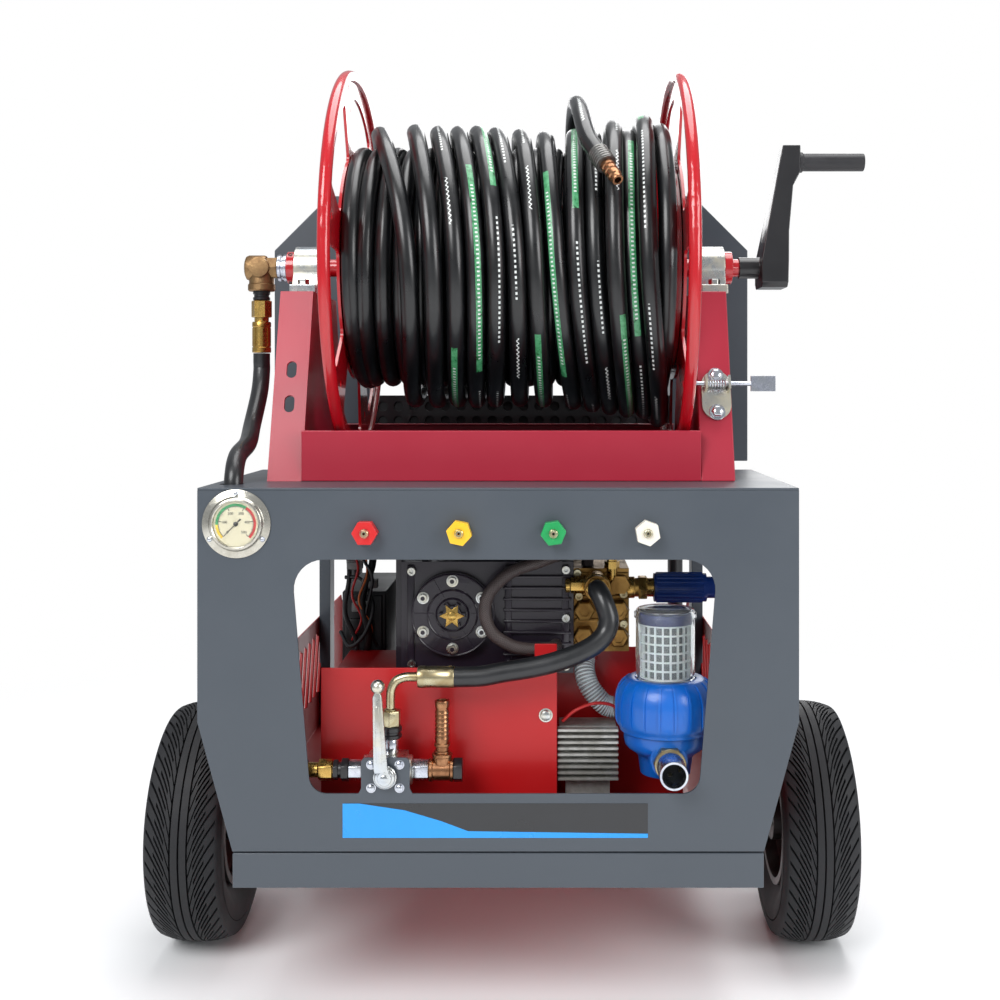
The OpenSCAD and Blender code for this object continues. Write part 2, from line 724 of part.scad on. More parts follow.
module hose_fitting() {
    hose_end = tail_route[len(tail_route) - 1];
    d = tail_tip - hose_end;
    from = hose_end + 2 * gap * d / norm(d);
    color("#a9a08c") place() translate(from) rotate([0, acos(d[2] / norm(d)), atan2(d[1], d[0])]) {
        difference() {
            union() {
                cylinder(d = hose_d + 3, h = 24);
                translate([0, 0, 24]) cylinder(d = 20, h = 7, $fn = 6);
                translate([0, 0, 31]) cylinder(d = 15, h = norm(d) - 31);
            }
            translate([0, 0, 24]) cylinder(d = 8, h = norm(d));
        }
    }
}

module crank_arm() {
    heel = crank_x + 29;
    top = crank_r + 22;
    color("#1a1b1d") place() translate([0, reel_y, reel_z]) difference() {
        union() {
            translate([crank_x, 0, 0]) rod_x(30, 34, 48);
            intersection() {
                rotate([90, 0, 0]) translate([0, 0, -32]) linear_extrude(64) polygon([
                    [heel, -29], [heel + 37, -29], [heel + 39, 50], [grip_x - 11, 115],
                    [grip_x - gap, crank_r - 15], [grip_x - gap, top], [grip_x - 25, top], [heel, 9]]);
                sideways(heel - 1, 80) polygon([[-30, -22], [-22, -30], [22, -30], [30, -22], [30, 8],
                    [16, crank_r - 10], [16, top + 1], [-16, top + 1], [-16, crank_r - 10], [-30, 8]]);
            }
            translate([grip_x - gap - 1, 0, crank_r]) rod_x(10, grip_len - 5, 32);
        }
        translate([crank_x - 1, 0, 0]) rod_x(shaft_d + seat, 34, 64);
    }
}

module crank_grip() {
    color("#202124") place() translate([grip_x, reel_y, reel_z + crank_r]) difference() {
        union() {
            rod_x(grip_d, grip_len, 48);
            rod_x(grip_d + 4, 5, 48);
        }
        translate([-1, 0, 0]) rod_x(10 + 2 * run, grip_len - 4, 48);
    }
}

// Water feed to the reel
module swivel_elbow() {
    color("#96785a") place() translate([0, reel_y, reel_z]) {
        translate([elbow_end - 14, 0, 0]) rod_x(38, 14, 48);
        translate([elbow_end - 30, 0, 0]) rod_x(32, 16, 6);
        translate([elbow_x - 22, 0, 0]) rod_x(36, elbow_end - elbow_x - 8, 48);
        translate([elbow_x, 0, -33]) cylinder(d = 38, h = 33);
        translate([elbow_x, 0, -46]) cylinder(d = 24, h = 13);
        translate([elbow_x, 0, -70]) cylinder(d = 29, h = 24, $fn = 6);
        translate([elbow_x, 0, -76]) cylinder(d = 20, h = 6);
        translate([elbow_x, 0, feed_z - reel_z]) cylinder(d = feed_d + 3, h = reel_z - 76 - feed_z);
    }
}

module feed_hose() {
    color("#1a1b1d") place() hose_along(feed_route, feed_d, 10);
}

// Reel lock: bracket, pin and spring
module lock_bracket() {
    ear = 3;
    color("#c9d0d4") place() translate([lock_x, lock_face, lock_height]) rotate([-lock_lean, 0,
        0]) difference() {
        union() {
            hull() for (k = [-14, 14]) translate([0, -3 - seat, k]) rod_y(38, 3, 48);
            for (k = [-24, 26]) translate([0, -9, k]) rod_y(15, 6, 6);
            for (k = [-16, 14]) box([k, -lock_out - 9, lock_up - 9], [k + ear, -3, lock_up + 9]);
        }
        translate([-40, -lock_out, lock_up]) rod_x(lock_pin_d + 2 * run, 80, 32);
    }
}

// The pin runs along X in front of the sloping flange, parked clear of the reel
module lock_pin() {
    tip = flange_right_x + flange_rim_d / 2 + lock_park;
    color("#c3c7ca") place() translate([0, lock_pin_y, lock_pin_z]) {
        translate([tip, 0, 0]) rod_x(lock_pin_d, 72, 32);
        translate([tip + 72, -2, -10]) cube([32, 4, 20]);
    }
}

module lock_spring() {
    turns = 7;
    n = 8;
    wire = 0.8;
    r = lock_pin_d / 2 + wire + 1;
    x0 = lock_x - 13 + wire + 2 * gap;
    run_x = 27 - 2 * wire - 4 * gap;
    pts = [for (i = [0 : turns * n]) let (a = 360 * i / n)
        [x0 + run_x * i / (turns * n), lock_pin_y + r * cos(a), lock_pin_z + r * sin(a)]];
    color("#b9bdc0") place() tube_along(pts, [for (p = pts) wire], 6, [1, 0, 0]);
}

// Gauge
module gauge_case() {
    color("#cfc8b2") place() translate([gauge_x, 0, gauge_z]) {
        translate([0, -2 - seat, 0]) rod_y(gauge_d, 2, 96);
        translate([0, -8, 0]) difference() {
            rod_y(62, 8, 72);
            translate([0, -1, 0]) rod_y(54, 6, 72);
        }
        rod_y(58, 34, 72);
        translate([0, 34, 0]) rod_y(13, 16, 32);
        for (a = [90, 210, 330]) translate([36 * cos(a), -4, 36 * sin(a)]) rod_y(6, 2, 24);
    }
}

module gauge_needle() {
    color("#101010") place() translate([gauge_x, -5, gauge_z]) {
        rod_y(6, 1.7, 24);
        rotate([0, 225, 0]) upright(0.2, 0.8) polygon([[-7, -1.2], [22, -0.4], [22, 0.4], [-7, 1.2]]);
    }
}

// Spray nozzles pushed into the panel
module nozzle(i, tint, turn) {
    color(tint) place() translate([nozzle_x[i], 0, nozzle_z]) difference() {
        union() {
            translate([0, -16 - gap, 0]) rotate([0, turn, 0]) rod_y(nozzle_hex, 16, 6);
            translate([0, -20, 0]) rod_y(9, 4, 32);
            translate([0, -gap, 0]) rod_y(12 - 2 * run, 24, 32);
        }
        translate([0, -21, 0]) rod_y(3, 60, 16);
    }
}

module nozzle_red() {
    nozzle(0, "#d8202c", 0);
}

module nozzle_yellow() {
    nozzle(1, "#f0c020", 12);
}

module nozzle_green() {
    nozzle(2, "#28a050", -8);
}

module nozzle_white() {
    nozzle(3, "#e4dfd2", 20);
}

// Ball valve behind the panel's tab, with its lever in front
module valve_body() {
    color("#a9aaa6") place() translate([valve_x, 0, valve_z]) {
        difference() {
            union() {
                box([-24, sheet_t + gap, -20], [24, 44, 20]);
                translate([-30, valve_y, 0]) rod_x(36, 60, 48);
                translate([0, -4, 0]) rod_y(12.5, 10, 32);
            }
            translate([-31, valve_y, 0]) rod_x(16, 62, 32);
        }
        for (x = [-17, 17], z = [-14, 14]) translate([x, -4, z]) rod_y(9, 4, 6);
        for (x = [-17, 17], z = [-14, 14]) translate([x, -1, z]) rod_y(5.5, 6, 24);
    }
}

module valve_lever() {
    color("#c9cac8") place() translate([valve_x, 0, valve_z]) {
        translate([0, lever_y, 0]) rod_y(28, -lever_y - 4 - gap, 48);
        translate([0, lever_y, 0]) upright(0, 6) polygon([[-12, 0], [6, 0], [-3, 102], [-14, 102]]);
        translate([-8, lever_y + 3, 109]) sphere(d = 17);
    }
}

module port_fittings() {
    color("#b98f55") place() {
        translate([valve_x, valve_y, valve_z]) {
            translate([-47, 0, 0]) rod_x(26, 17, 6);
            translate([-66, 0, 0]) rod_x(22, 19, 48);
            translate([-84, 0, 0]) rod_x(29, 18, 6);
            translate([-97, 0, 0]) rod_x(18, 13, 48);
            translate([30, 0, 0]) rod_x(26, 20, 6);
            translate([50, 0, 0]) rod_x(28, 30, 48);
            translate([80, 0, 0]) rod_x(29, 11, 6);
            translate([66, 0, 0]) cylinder(d = 17, h = 85);
            for (z = [20, 32, 52, 60, 68, 76]) translate([66, 0, z]) cylinder(d1 = 20, d2 = 17.5, h = 6);
        }
        delivery_fittings();
    }
}

// Elbow and crimp sleeve between the valve and the delivery hose
module delivery_fittings() {
    p = delivery_route[0];
    x = valve_x + 3;
    top = p[2];
    elbow = [[x, p[1], valve_z + 72], [x, p[1], top - 22], [x + 3, p[1], top - 11], [x + 10, p[1], top - 4],
        [x + 22, p[1], top], [p[0] - 43, p[1], top]];
    tube_along(elbow, [for (q = elbow) 5.5], 10, [0, 1, 0]);
    translate([p[0] - 45, p[1], p[2]]) rod_x(feed_d + 3, 45 - gap);
    translate([x, p[1], valve_z + 20]) cylinder(d = 20, h = 19);
    translate([x, p[1], valve_z + 39]) cylinder(d = 28, h = 15);
    translate([x, p[1], valve_z + 54]) cylinder(d = 26, h = 19, $fn = 6);
}

module delivery_hose() {
    color("#1c1d20") place() hose_along(delivery_route, feed_d + 1.5, 10);
}

// High pressure pump, bolted on the red housing and driven by the engine behind it
module pump_crankcase() {
    y = pump_y0 + cover_t;
    color("#2a2230") place() {
        translate([-130, y, box_top + 8]) cube([223, pump_y1 - y, pump_h]);
        for (x = [-138, -104, 30, 66]) translate([x, y + 10, box_top + 8])
            cube([8, pump_y1 - y - 20, pump_h + 8]);
        for (x = [-132, 13]) translate([x, y + 10, box_top]) cube([24, pump_y1 - y - 30, 9]);
        translate([pump_x, pump_y1, pump_z]) rod_y(120, engine_y0 - pump_y1 - gap, 64);
    }
}

module pump_cover() {
    color("#33293a") place() translate([pump_x, pump_y0, pump_z]) {
        rod_y(2 * cover_r, cover_t, 72);
        for (a = [30 : 60 : 330]) translate([43.5 * cos(a), -6, 43.5 * sin(a)]) rod_y(9, 6, 24);
        translate([0, -8, 0]) rod_y(24, 8, 48);
        for (a = [0 : 60 : 300]) rotate([0, a, 0]) box([11, -8, -3], [17, 0, 3]);
    }
}

module pump_head() {
    color("#b08a4a") place() {
        translate([93 + gap, pump_y0 + 20, head_z]) cube([72, 130, head_h]);
        for (x = [107, 151], z = [20, 54]) translate([x, pump_y0 + 8, head_z + z]) rod_y(26, 12, 6);
        translate([153, pump_y0 + 8, head_z + 88]) rod_y(26, 12, 6);
        translate([outlet_x, outlet_y, outlet_z]) rod_y(32, pump_y0 + 22 - outlet_y, 48);
        translate([148, unloader_y, unloader_z]) rod_x(24, 50, 48);
        translate([198, unloader_y, unloader_z]) rod_x(10 - 2 * run, 30, 32);
    }
}

module unloader_knob() {
    color("#0a2c6e") place() translate([198 + gap, unloader_y, unloader_z]) difference() {
        union() {
            rod_x(37, 68, 64);
            for (a = [0 : 20 : 340]) rotate([a, 0, 0]) translate([3, 0, 18]) rod_x(4, 60, 16);
            translate([68, 0, 0]) rod_x(28, 14, 48);
        }
        translate([-1, 0, 0]) rod_x(10, 40, 32);
    }
}

module bypass_hose() {
    color("#3a2f2a") place() hose_along(bypass_route, bypass_d, 10);
}

// Water filter: a clear bowl on a blue ribbed body, with the inlet tube at the front
module filter_bowl() {
    color([0.85, 0.9, 0.92, 0.6]) place() translate([filter_x, filter_y, 0]) difference() {
        union() {
            translate([0, 0, 410 + gap]) cylinder(r = bowl_r, h = 86, $fn = 72);
            translate([0, 0, 484]) cylinder(r = bowl_r + 2, h = 8, $fn = 72);
        }
        translate([0, 0, 409]) cylinder(r = bowl_r - 3, h = 84, $fn = 72);
    }
}

module filter_body() {
    p = suction_route[0];
    core = collar_r - 2;
    color("#0a55c0") place() {
        translate([filter_x, filter_y, 0]) {
            rotate_extrude($fn = 72) polygon([[0, 290], [31, 290], [34, 312], [40, 318], [49, 326], [52, 344],
                [core - 5, 344], [core - 4, 350], [core, 358], [core, 384], [core - 3, 398], [core - 10, 407],
                [core - 14, 410], [0, 410]]);
            for (a = [0 : 18 : 342]) rotate(a) translate([core, 0, 358]) cylinder(r = 2, h = 26, $fn = 16);
        }
        translate([p[0] + 3 * gap, p[1], p[2]]) rod_x(suction_d - 4, 16);
        difference() {
            translate([inlet_x, -inlet_front, inlet_z]) union() {
                rod_y(inlet_d, inlet_front + 4, 64);
                rod_y(inlet_d - 1.5, inlet_front + 46, 64);
                translate([0, inlet_front + 12, 0]) rod_y(40, 14, 6);
                translate([0, inlet_front + 26, 0]) rod_y(46, 24, 64);
            }
            translate([inlet_x, -inlet_front - 1, inlet_z]) rod_y(inlet_bore, inlet_front + 47, 64);
        }
    }
}

// The clear suction hose, ribbed along its length, with its bore left to the wall
module suction_hose() {
    q = spline(suction_route, 8);
    run_len = [for (i = 0, s = 0; i < len(q) - 1; s = s + norm(q[i + 1] - q[i]), i = i + 1) s];
    ribs = floor((run_len[len(run_len) - 1] - 12) / suction_pitch);
    rings = ribbed(q, ribs);
    color([0.8, 0.82, 0.84, 0.7]) place() difference() {
        tube_along([for (r = rings) r[0]], [for (r = rings) r[1]], 8, [0, 1, 0]);
        tube_along([for (i = [0 : 4 : len(q) - 1]) q[i] + (i == 0 ? q[0] - q[1] : i == len(q) - 1
            ? q[i] - q[i - 1] : [0, 0, 0])], [for (i = [0 : 4 : len(q) - 1]) suction_d / 2 - 4], 8,
                [0, 1, 0]);
    }
}

// Ring centres and radii of a ribbed tube: a crest and a root for each rib
function along(q, t) = let (k = min(floor(t * (len(q) - 1)), len(q) - 2), f = t * (len(q) - 1) - k)
    q[k] * (1 - f) + q[k + 1] * f;
function ribbed(q, ribs) = concat([[q[0], suction_d / 2 - 1.5]],
    [for (i = [0 : ribs - 1], k = [0, 1]) [along(q, 0.08 + 0.84 * (i + k / 2) / ribs),
        suction_d / 2 - (k == 0 ? 0 : 1.5)]],
    [[q[len(q) - 1], suction_d / 2 - 1.5]]);

// The red housing carries the pump on its top and holds the battery
module battery_box() {
    z0 = rail_top + sheet_t;
    w = 2;
    color("#b9000e") place() {
        difference() {
            box([box_x0, box_y0, z0], [box_x1, box_y1, box_top]);
            box([box_x0 + w, box_y0 + w, z0 - 1], [box_x1 - w, box_y1 - w, box_top - 3]);
        }
        box([box_x0, box_y0, box_top], [box_x1, box_y0 + w, box_top + box_lip]);
        box([box_x1, box_y0, z0], [box_x1 + 28, box_y0 + w, z0 + 234]);
        box([box_x1 + 26, box_y0 + w, z0], [box_x1 + 28, box_y0 + 106, z0 + 110]);
        box([box_x1 + 26, box_y0 + 104, z0], [240, box_y0 + 106, box_top + 7]);
        box([box_x1 + 52, box_y0 + 104, box_top + 6], [240, box_y0 + 106, head_z - 2]);
    }
}

module battery() {
    color("#1e1f1a") place() translate([box_x0 + 6, box_y0 + 6, rail_top + sheet_t]) {
        cube([180, 150, 150]);
        for (x = [24, 150]) translate([x, 40, 150]) cylinder(d = 14, h = 8);
    }
}

module regulator() {
    color("#b4b6b8") place() translate([box_x1 + 29, 72, rail_top + sheet_t]) {
        translate([10, 14, 0]) cube([56, 36, 61]);
        translate([2, 14, 60]) cube([72, 42, 66]);
        for (i = [0 : 8]) translate([0, 0, 61.5 + i * 7.6]) cube([76, 16, 3.2]);
    }
}

// Engine behind the pump, on the tray
module engine_block() {
    color("#3b3d40") place() {
        translate([-150, engine_y0, 300]) cube([300, 300, 260]);
        for (s = [-1, 1]) translate([0, 400, 470]) rotate([0, s * 45, 0]) {
            translate([-55, 0, 60]) cube([110, 120, 100]);
            for (z = [70 : 14 : 150]) translate([-65, -10, z]) cube([130, 140, 5]);
        }
        for (s = [-1, 1]) translate([s * 120 - 25, engine_y0, rail_top + sheet_t])
            cube([50, 300, 300 - rail_top - sheet_t]);
        translate([-70, 640, 600]) cube([140, 120, 90]);
        translate([-40, 588, 559]) cube([80, 42, 81]);
        translate([-40, 620, 605]) cube([80, 30, 35]);
    }
}

module engine_blower() {
    color("#202124") place() translate([0, engine_y0 + 300, 430]) difference() {
        rod_y(330, 90, 96);
        translate([0, 80, 0]) for (r = [50, 85, 120], a = [0 : 20 : 340])
            translate([r * cos(a), 0, r * sin(a)]) rod_y(10, 12, 16);
    }
}

module fuel_tank() {
    color("#2b2d30") place() translate([0, portal_y + portal_d + 26, shelf_z + sheet_t]) difference() {
        union() {
            translate([-190, 0, 0]) cube([380, 220, 120]);
            translate([0, 110, 120]) cylinder(d = 60, h = 12);
        }
        translate([-186, 4, 4]) cube([372, 212, 112]);
        translate([0, 110, 110]) cylinder(d = 48, h = 30);
    }
}

module fuel_cap() {
    color("#151618") place() translate([0, portal_y + portal_d + 136, shelf_z + sheet_t + 132 + gap]) {
        cylinder(d = 72, h = 18);
        translate([0, 0, -14]) cylinder(d = 46, h = 14);
        for (a = [0 : 30 : 330]) rotate(a) translate([35, 0, 2]) cylinder(d = 5, h = 14, $fn = 16);
    }
}

chassis_frame();
front_crossbar();
tray();
front_panel();
deck_plate();
rear_portal();
grille_guard();
push_handle();
axle();
tyre_left();
rim_left();
tyre_right();
rim_right();
caster_fork_left();
caster_wheel_left();
caster_fork_right();
caster_wheel_right();
reel_frame_left();
reel_frame_right();
reel_frame_bar();
pillow_blocks();
reel_drum();
reel_flange_left();
reel_flange_right();
hose_core();
hose_winding();
hose_tail();
hose_fitting();
crank_arm();
crank_grip();
swivel_elbow();
feed_hose();
lock_bracket();
lock_pin();
lock_spring();
gauge_case();
gauge_needle();
nozzle_red();
nozzle_yellow();
nozzle_green();
nozzle_white();
valve_body();
valve_lever();
port_fittings();
delivery_hose();
pump_crankcase();
pump_cover();
pump_head();
unloader_knob();
bypass_hose();
filter_bowl();
filter_body();
suction_hose();
battery_box();
battery();
regulator();
engine_block();
engine_blower();
fuel_tank();
fuel_cap();
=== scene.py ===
"""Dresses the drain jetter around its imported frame: hose, finishes and fine parts."""

import logging
import math
import random
from dataclasses import dataclass, field
from enum import Enum

import bmesh
import bpy
from mathutils import Matrix, Vector


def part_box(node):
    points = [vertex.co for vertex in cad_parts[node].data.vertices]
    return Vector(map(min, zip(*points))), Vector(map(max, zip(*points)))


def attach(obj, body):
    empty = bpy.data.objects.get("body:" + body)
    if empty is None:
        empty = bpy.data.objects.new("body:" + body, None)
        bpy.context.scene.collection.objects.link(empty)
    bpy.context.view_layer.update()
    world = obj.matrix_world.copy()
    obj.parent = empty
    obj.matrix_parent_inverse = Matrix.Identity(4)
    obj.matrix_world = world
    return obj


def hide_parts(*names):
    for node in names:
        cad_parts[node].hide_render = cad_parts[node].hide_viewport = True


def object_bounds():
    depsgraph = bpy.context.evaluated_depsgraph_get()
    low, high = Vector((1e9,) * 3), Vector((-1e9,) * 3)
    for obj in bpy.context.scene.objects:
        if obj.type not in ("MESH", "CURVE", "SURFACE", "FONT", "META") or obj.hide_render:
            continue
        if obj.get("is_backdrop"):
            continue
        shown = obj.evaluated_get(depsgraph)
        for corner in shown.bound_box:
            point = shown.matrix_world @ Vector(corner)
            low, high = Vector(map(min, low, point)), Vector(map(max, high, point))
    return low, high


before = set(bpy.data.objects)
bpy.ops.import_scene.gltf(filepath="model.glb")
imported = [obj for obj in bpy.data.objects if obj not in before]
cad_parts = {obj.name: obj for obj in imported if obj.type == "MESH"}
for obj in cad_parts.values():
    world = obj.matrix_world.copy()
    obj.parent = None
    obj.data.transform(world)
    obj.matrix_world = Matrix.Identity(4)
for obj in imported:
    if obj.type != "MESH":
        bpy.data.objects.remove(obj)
CAD_BOX = [list(corner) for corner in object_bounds()]
log = logging.getLogger("jetter")

MID_X = 19.0
MID_Y = 445.0
REEL_Y = 280.0
REEL_Z = 943.0


def at(x: float, y: float, z: float) -> Vector:
    """Give the frame's point in metres for a point of the machine.

    Args:
        x: Millimetres to the right of the machine's middle.
        y: Millimetres behind the front panel's face.
        z: Millimetres above the floor.

    Returns:
        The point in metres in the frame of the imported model.
    """
    return Vector(((x - MID_X) / 1000, (y - MID_Y) / 1000, z / 1000))


def smooth_run(points: list[list[float]], steps: int) -> list[Vector]:
    """Lay a smooth curve through points.

    Args:
        points: The points it goes through.
        steps: Points to each span.

    Returns:
        The points of the curve.
    """
    p = [Vector(q) for q in points]
    p = [2 * p[0] - p[1], *p, 2 * p[-1] - p[-2]]
    run = []
    for i in range(1, len(p) - 2):
        a, b, c, d = p[i - 1], p[i], p[i + 1], p[i + 2]
        for k in range(steps):
            t = k / steps
            run.append(0.5 * (2 * b + (c - a) * t + (2 * a - 5 * b + 4 * c - d) * t * t
                              + (3 * b - a - 3 * c + d) * t * t * t))
    run.append(p[-2])
    return run


class Axis(Enum):
    """The machine's directions: across, back and up."""

    X = 0
    Y = 1
    Z = 2

    def turn(self) -> Matrix:
        """Turn a shape drawn along Z to run along this direction."""
        if self is Axis.X:
            return Matrix(((0, 0, 1), (1, 0, 0), (0, 1, 0)))
        if self is Axis.Y:
            return Matrix(((1, 0, 0), (0, 0, 1), (0, -1, 0)))
        return Matrix.Identity(3)


# ---- finishes
class Shade:
    """A node material in the making."""

    def __init__(self, name: str) -> None:
        """Start an empty material.

        Args:
            name: The material's name.
        """
        self.mat = bpy.data.materials.new(name)
        self.mat.use_nodes = True
        self.tree = self.mat.node_tree
        self.tree.nodes.clear()
        self.out = self.node("ShaderNodeOutputMaterial")
        self.skin = self.node("ShaderNodeBsdfPrincipled")
        self.join(self.skin.outputs[0], self.out.inputs[0])

    def node(self, kind: str, **settings: object) -> bpy.types.Node:
        """Add a node.

        Args:
            kind: The node's type.
            **settings: Its properties.

        Returns:
            The node.
        """
        made = self.tree.nodes.new(kind)
        for name, value in settings.items():
            setattr(made, name, value)
        return made

    def join(self, source: bpy.types.NodeSocket, target: bpy.types.NodeSocket) -> None:
        """Link an output to an input."""
        self.tree.links.new(source, target)

    def feed(self, socket: bpy.types.NodeSocket, value: object) -> None:
        """Link a socket, or set it when the value is a constant."""
        if isinstance(value, bpy.types.NodeSocket):
            self.join(value, socket)
        else:
            socket.default_value = value

    def math(self, kind: str, a: object, b: object = 0.0, c: object = 0.0) -> bpy.types.NodeSocket:
        """Do one step of arithmetic.

        Args:
            kind: The operation.
            a: The first value or socket.
            b: The second.
            c: The third.

        Returns:
            The result's socket.
        """
        made = self.node("ShaderNodeMath", operation=kind)
        for socket, value in zip(made.inputs, (a, b, c)):
            self.feed(socket, value)
        return made.outputs[0]

    def where(self, scale: tuple[float, float, float] = (1, 1, 1),
              turn: tuple[float, float, float] = (0, 0, 0)) -> bpy.types.NodeSocket:
        """Read the place on the object, stretched and turned.

        Args:
            scale: The stretch along each direction.
            turn: The turn about each, in radians.

        Returns:
            The socket of the place.
        """
        spot = self.node("ShaderNodeTexCoord").outputs["Object"]
        if scale == (1, 1, 1) and turn == (0, 0, 0):
            return spot
        move = self.node("ShaderNodeMapping")
        move.inputs["Scale"].default_value = scale
        move.inputs["Rotation"].default_value = turn
        self.join(spot, move.inputs["Vector"])
        return move.outputs[0]

    def noise(self, scale: float, detail: float = 3.0, rough: float = 0.5, warp: float = 0.0,
              spot: bpy.types.NodeSocket | None = None) -> bpy.types.NodeSocket:
        """Add a noise pattern.

        Args:
            scale: How fine it is, per metre.
            detail: Octaves.
            rough: Weight of the fine octaves.
            warp: Distortion.
            spot: Where it is read.

        Returns:
            The socket of its strength.
        """
        made = self.node("ShaderNodeTexNoise")
        made.inputs["Scale"].default_value = scale
        made.inputs["Detail"].default_value = detail
        made.inputs["Roughness"].default_value = rough
        made.inputs["Distortion"].default_value = warp
        self.join(spot or self.where(), made.inputs["Vector"])
        return made.outputs[0]

    def span(self, value: bpy.types.NodeSocket, low: float, high: float,
             to_low: float = 0.0, to_high: float = 1.0) -> bpy.types.NodeSocket:
        """Stretch a value from one range to another, held at its ends."""
        made = self.node("ShaderNodeMapRange")
        for name, number in (("From Min", low), ("From Max", high), ("To Min", to_low), ("To Max", to_high)):
            made.inputs[name].default_value = number
        self.join(value, made.inputs["Value"])
        return made.outputs[0]

    def blend(self, share: object, a: object, b: object) -> bpy.types.NodeSocket:
        """Mix two colours.

        Args:
            share: How much of the second, as a number or a socket.
            a: The first colour or socket.
            b: The second.

        Returns:
            The mixed colour's socket.
        """
        made = self.node("ShaderNodeMix", data_type="RGBA")
        self.feed(made.inputs[0], share)
        self.feed(made.inputs[6], a)
        self.feed(made.inputs[7], b)
        return made.outputs[2]

    def relief(self, height: bpy.types.NodeSocket, strength: float, depth: float) -> None:
        """Raise the surface by a pattern.

        Args:
            height: The pattern.
            strength: How much of it shows.
            depth: Its height in metres.
        """
        bump = self.node("ShaderNodeBump")
        bump.inputs["Strength"].default_value = strength
        bump.inputs["Distance"].default_value = depth
        self.join(height, bump.inputs["Height"])
        old = self.skin.inputs["Normal"].links
        if old:
            self.join(old[0].from_socket, bump.inputs["Normal"])
        self.join(bump.outputs[0], self.skin.inputs["Normal"])

    def set(self, **values: object) -> None:
        """Set the shader's own sockets; an underscore stands for a space."""
        for name, value in values.items():
            self.feed(self.skin.inputs[name.replace("_", " ")], value)


def rgb(*levels: float) -> tuple[float, float, float, float]:
    """Turn a screen colour of 0 to 255 into the shader's linear colour."""
    linear = [(v / 255) / 12.92 if v / 255 <= 0.04045 else ((v / 255 + 0.055) / 1.055) ** 2.4 for v in levels]
    return (*linear, 1.0)


@dataclass(frozen=True)
class Paint:
    """A sprayed paint: even colour, faint cloudiness, orange peel and dust."""

    name: str
    colour: tuple
    dust: tuple
    gloss: float = 0.35
    coat: float = 0.0
    cloud: float = 0.12
    peel: float = 0.12
    grain: float = 900.0

    def make(self) -> bpy.types.Material:
        """Build the material."""
        s = Shade(self.name)
        cloud = s.noise(6, 5, 0.6)
        scuff = s.noise(55, 6, 0.7, 1.5, s.where((1, 1, 3)))
        fleck = s.span(scuff, 0.62, 0.78, 0, 1)
        tint = s.blend(s.math("MULTIPLY", cloud, self.cloud * 2), self.colour, self.dust)
        tint = s.blend(s.math("MULTIPLY", fleck, 0.10), tint, self.dust)
        rough = s.math("ADD", s.span(cloud, 0.3, 0.7, self.gloss - 0.05, self.gloss + 0.07),
                       s.math("MULTIPLY", fleck, 0.12))
        s.set(Base_Color=tint, Roughness=rough)
        if self.coat:
            s.set(Coat_Weight=self.coat, Coat_Roughness=0.06)
        s.relief(s.noise(self.grain, 2, 0.5), self.peel, 0.0004)
        return s.mat


@dataclass(frozen=True)
class Plate:
    """A plated or bare metal with cloudy blotches and fine marks."""

    name: str
    colour: tuple
    other: tuple
    rough: float = 0.28
    spread: float = 0.18
    patch: float = 28.0
    cast: float = 0.0
    brushed: tuple | None = None
    metal: float = 1.0

    def make(self) -> bpy.types.Material:
        """Build the material."""
        s = Shade(self.name)
        patch = s.noise(self.patch, 5, 0.62, 0.6)
        fine = s.noise(self.patch * 9, 4, 0.6)
        tint = s.blend(s.span(patch, 0.35, 0.68), self.colour, self.other)
        dark = tuple(c * 0.45 for c in self.colour[:3]) + (1.0,)
        tint = s.blend(s.span(fine, 0.58, 0.80, 0, 0.45), tint, dark)
        rough = s.math("ADD", s.span(patch, 0.3, 0.7, self.rough - self.spread / 2, self.rough + self.spread / 2),
                       s.span(fine, 0.4, 0.8, 0, 0.10))
        s.set(Base_Color=tint, Metallic=self.metal, Roughness=rough)
        if self.brushed:
            s.relief(s.noise(60, 3, 0.6, 0, s.where(self.brushed)), 0.18, 0.0003)
        if self.cast:
            s.relief(s.noise(420, 5, 0.65), self.cast, 0.0009)
            s.relief(s.noise(1500, 2, 0.5), self.cast * 0.5, 0.0004)
        else:
            s.relief(s.noise(700, 3, 0.5), 0.06, 0.0003)
        return s.mat


@dataclass(frozen=True)
class Moulded:
    """A moulded plastic or rubber with a fine grain and handled patches."""

    name: str
    colour: tuple
    worn: tuple
    rough: float = 0.45
    grain: float = 1300.0
    depth: float = 0.15
    coat: float = 0.0
    glow: float = 0.0

    def make(self) -> bpy.types.Material:
        """Build the material."""
        s = Shade(self.name)
        hand = s.noise(14, 4, 0.6)
        dust = s.span(s.noise(90, 6, 0.75, 0.8), 0.55, 0.8)
        tint = s.blend(s.span(hand, 0.35, 0.7, 0, 0.35), self.colour, self.worn)
        tint = s.blend(s.math("MULTIPLY", dust, 0.18), tint, self.worn)
        s.set(Base_Color=tint, Roughness=s.span(hand, 0.3, 0.7, self.rough - 0.07, self.rough + 0.09))
        if self.coat:
            s.set(Coat_Weight=self.coat, Coat_Roughness=0.12)
        if self.glow:
            s.set(Subsurface_Weight=self.glow)
            self_scale = s.skin.inputs["Subsurface Scale"]
            self_scale.default_value = 0.004
        s.relief(s.noise(self.grain, 3, 0.6), self.depth, 0.0004)
        return s.mat


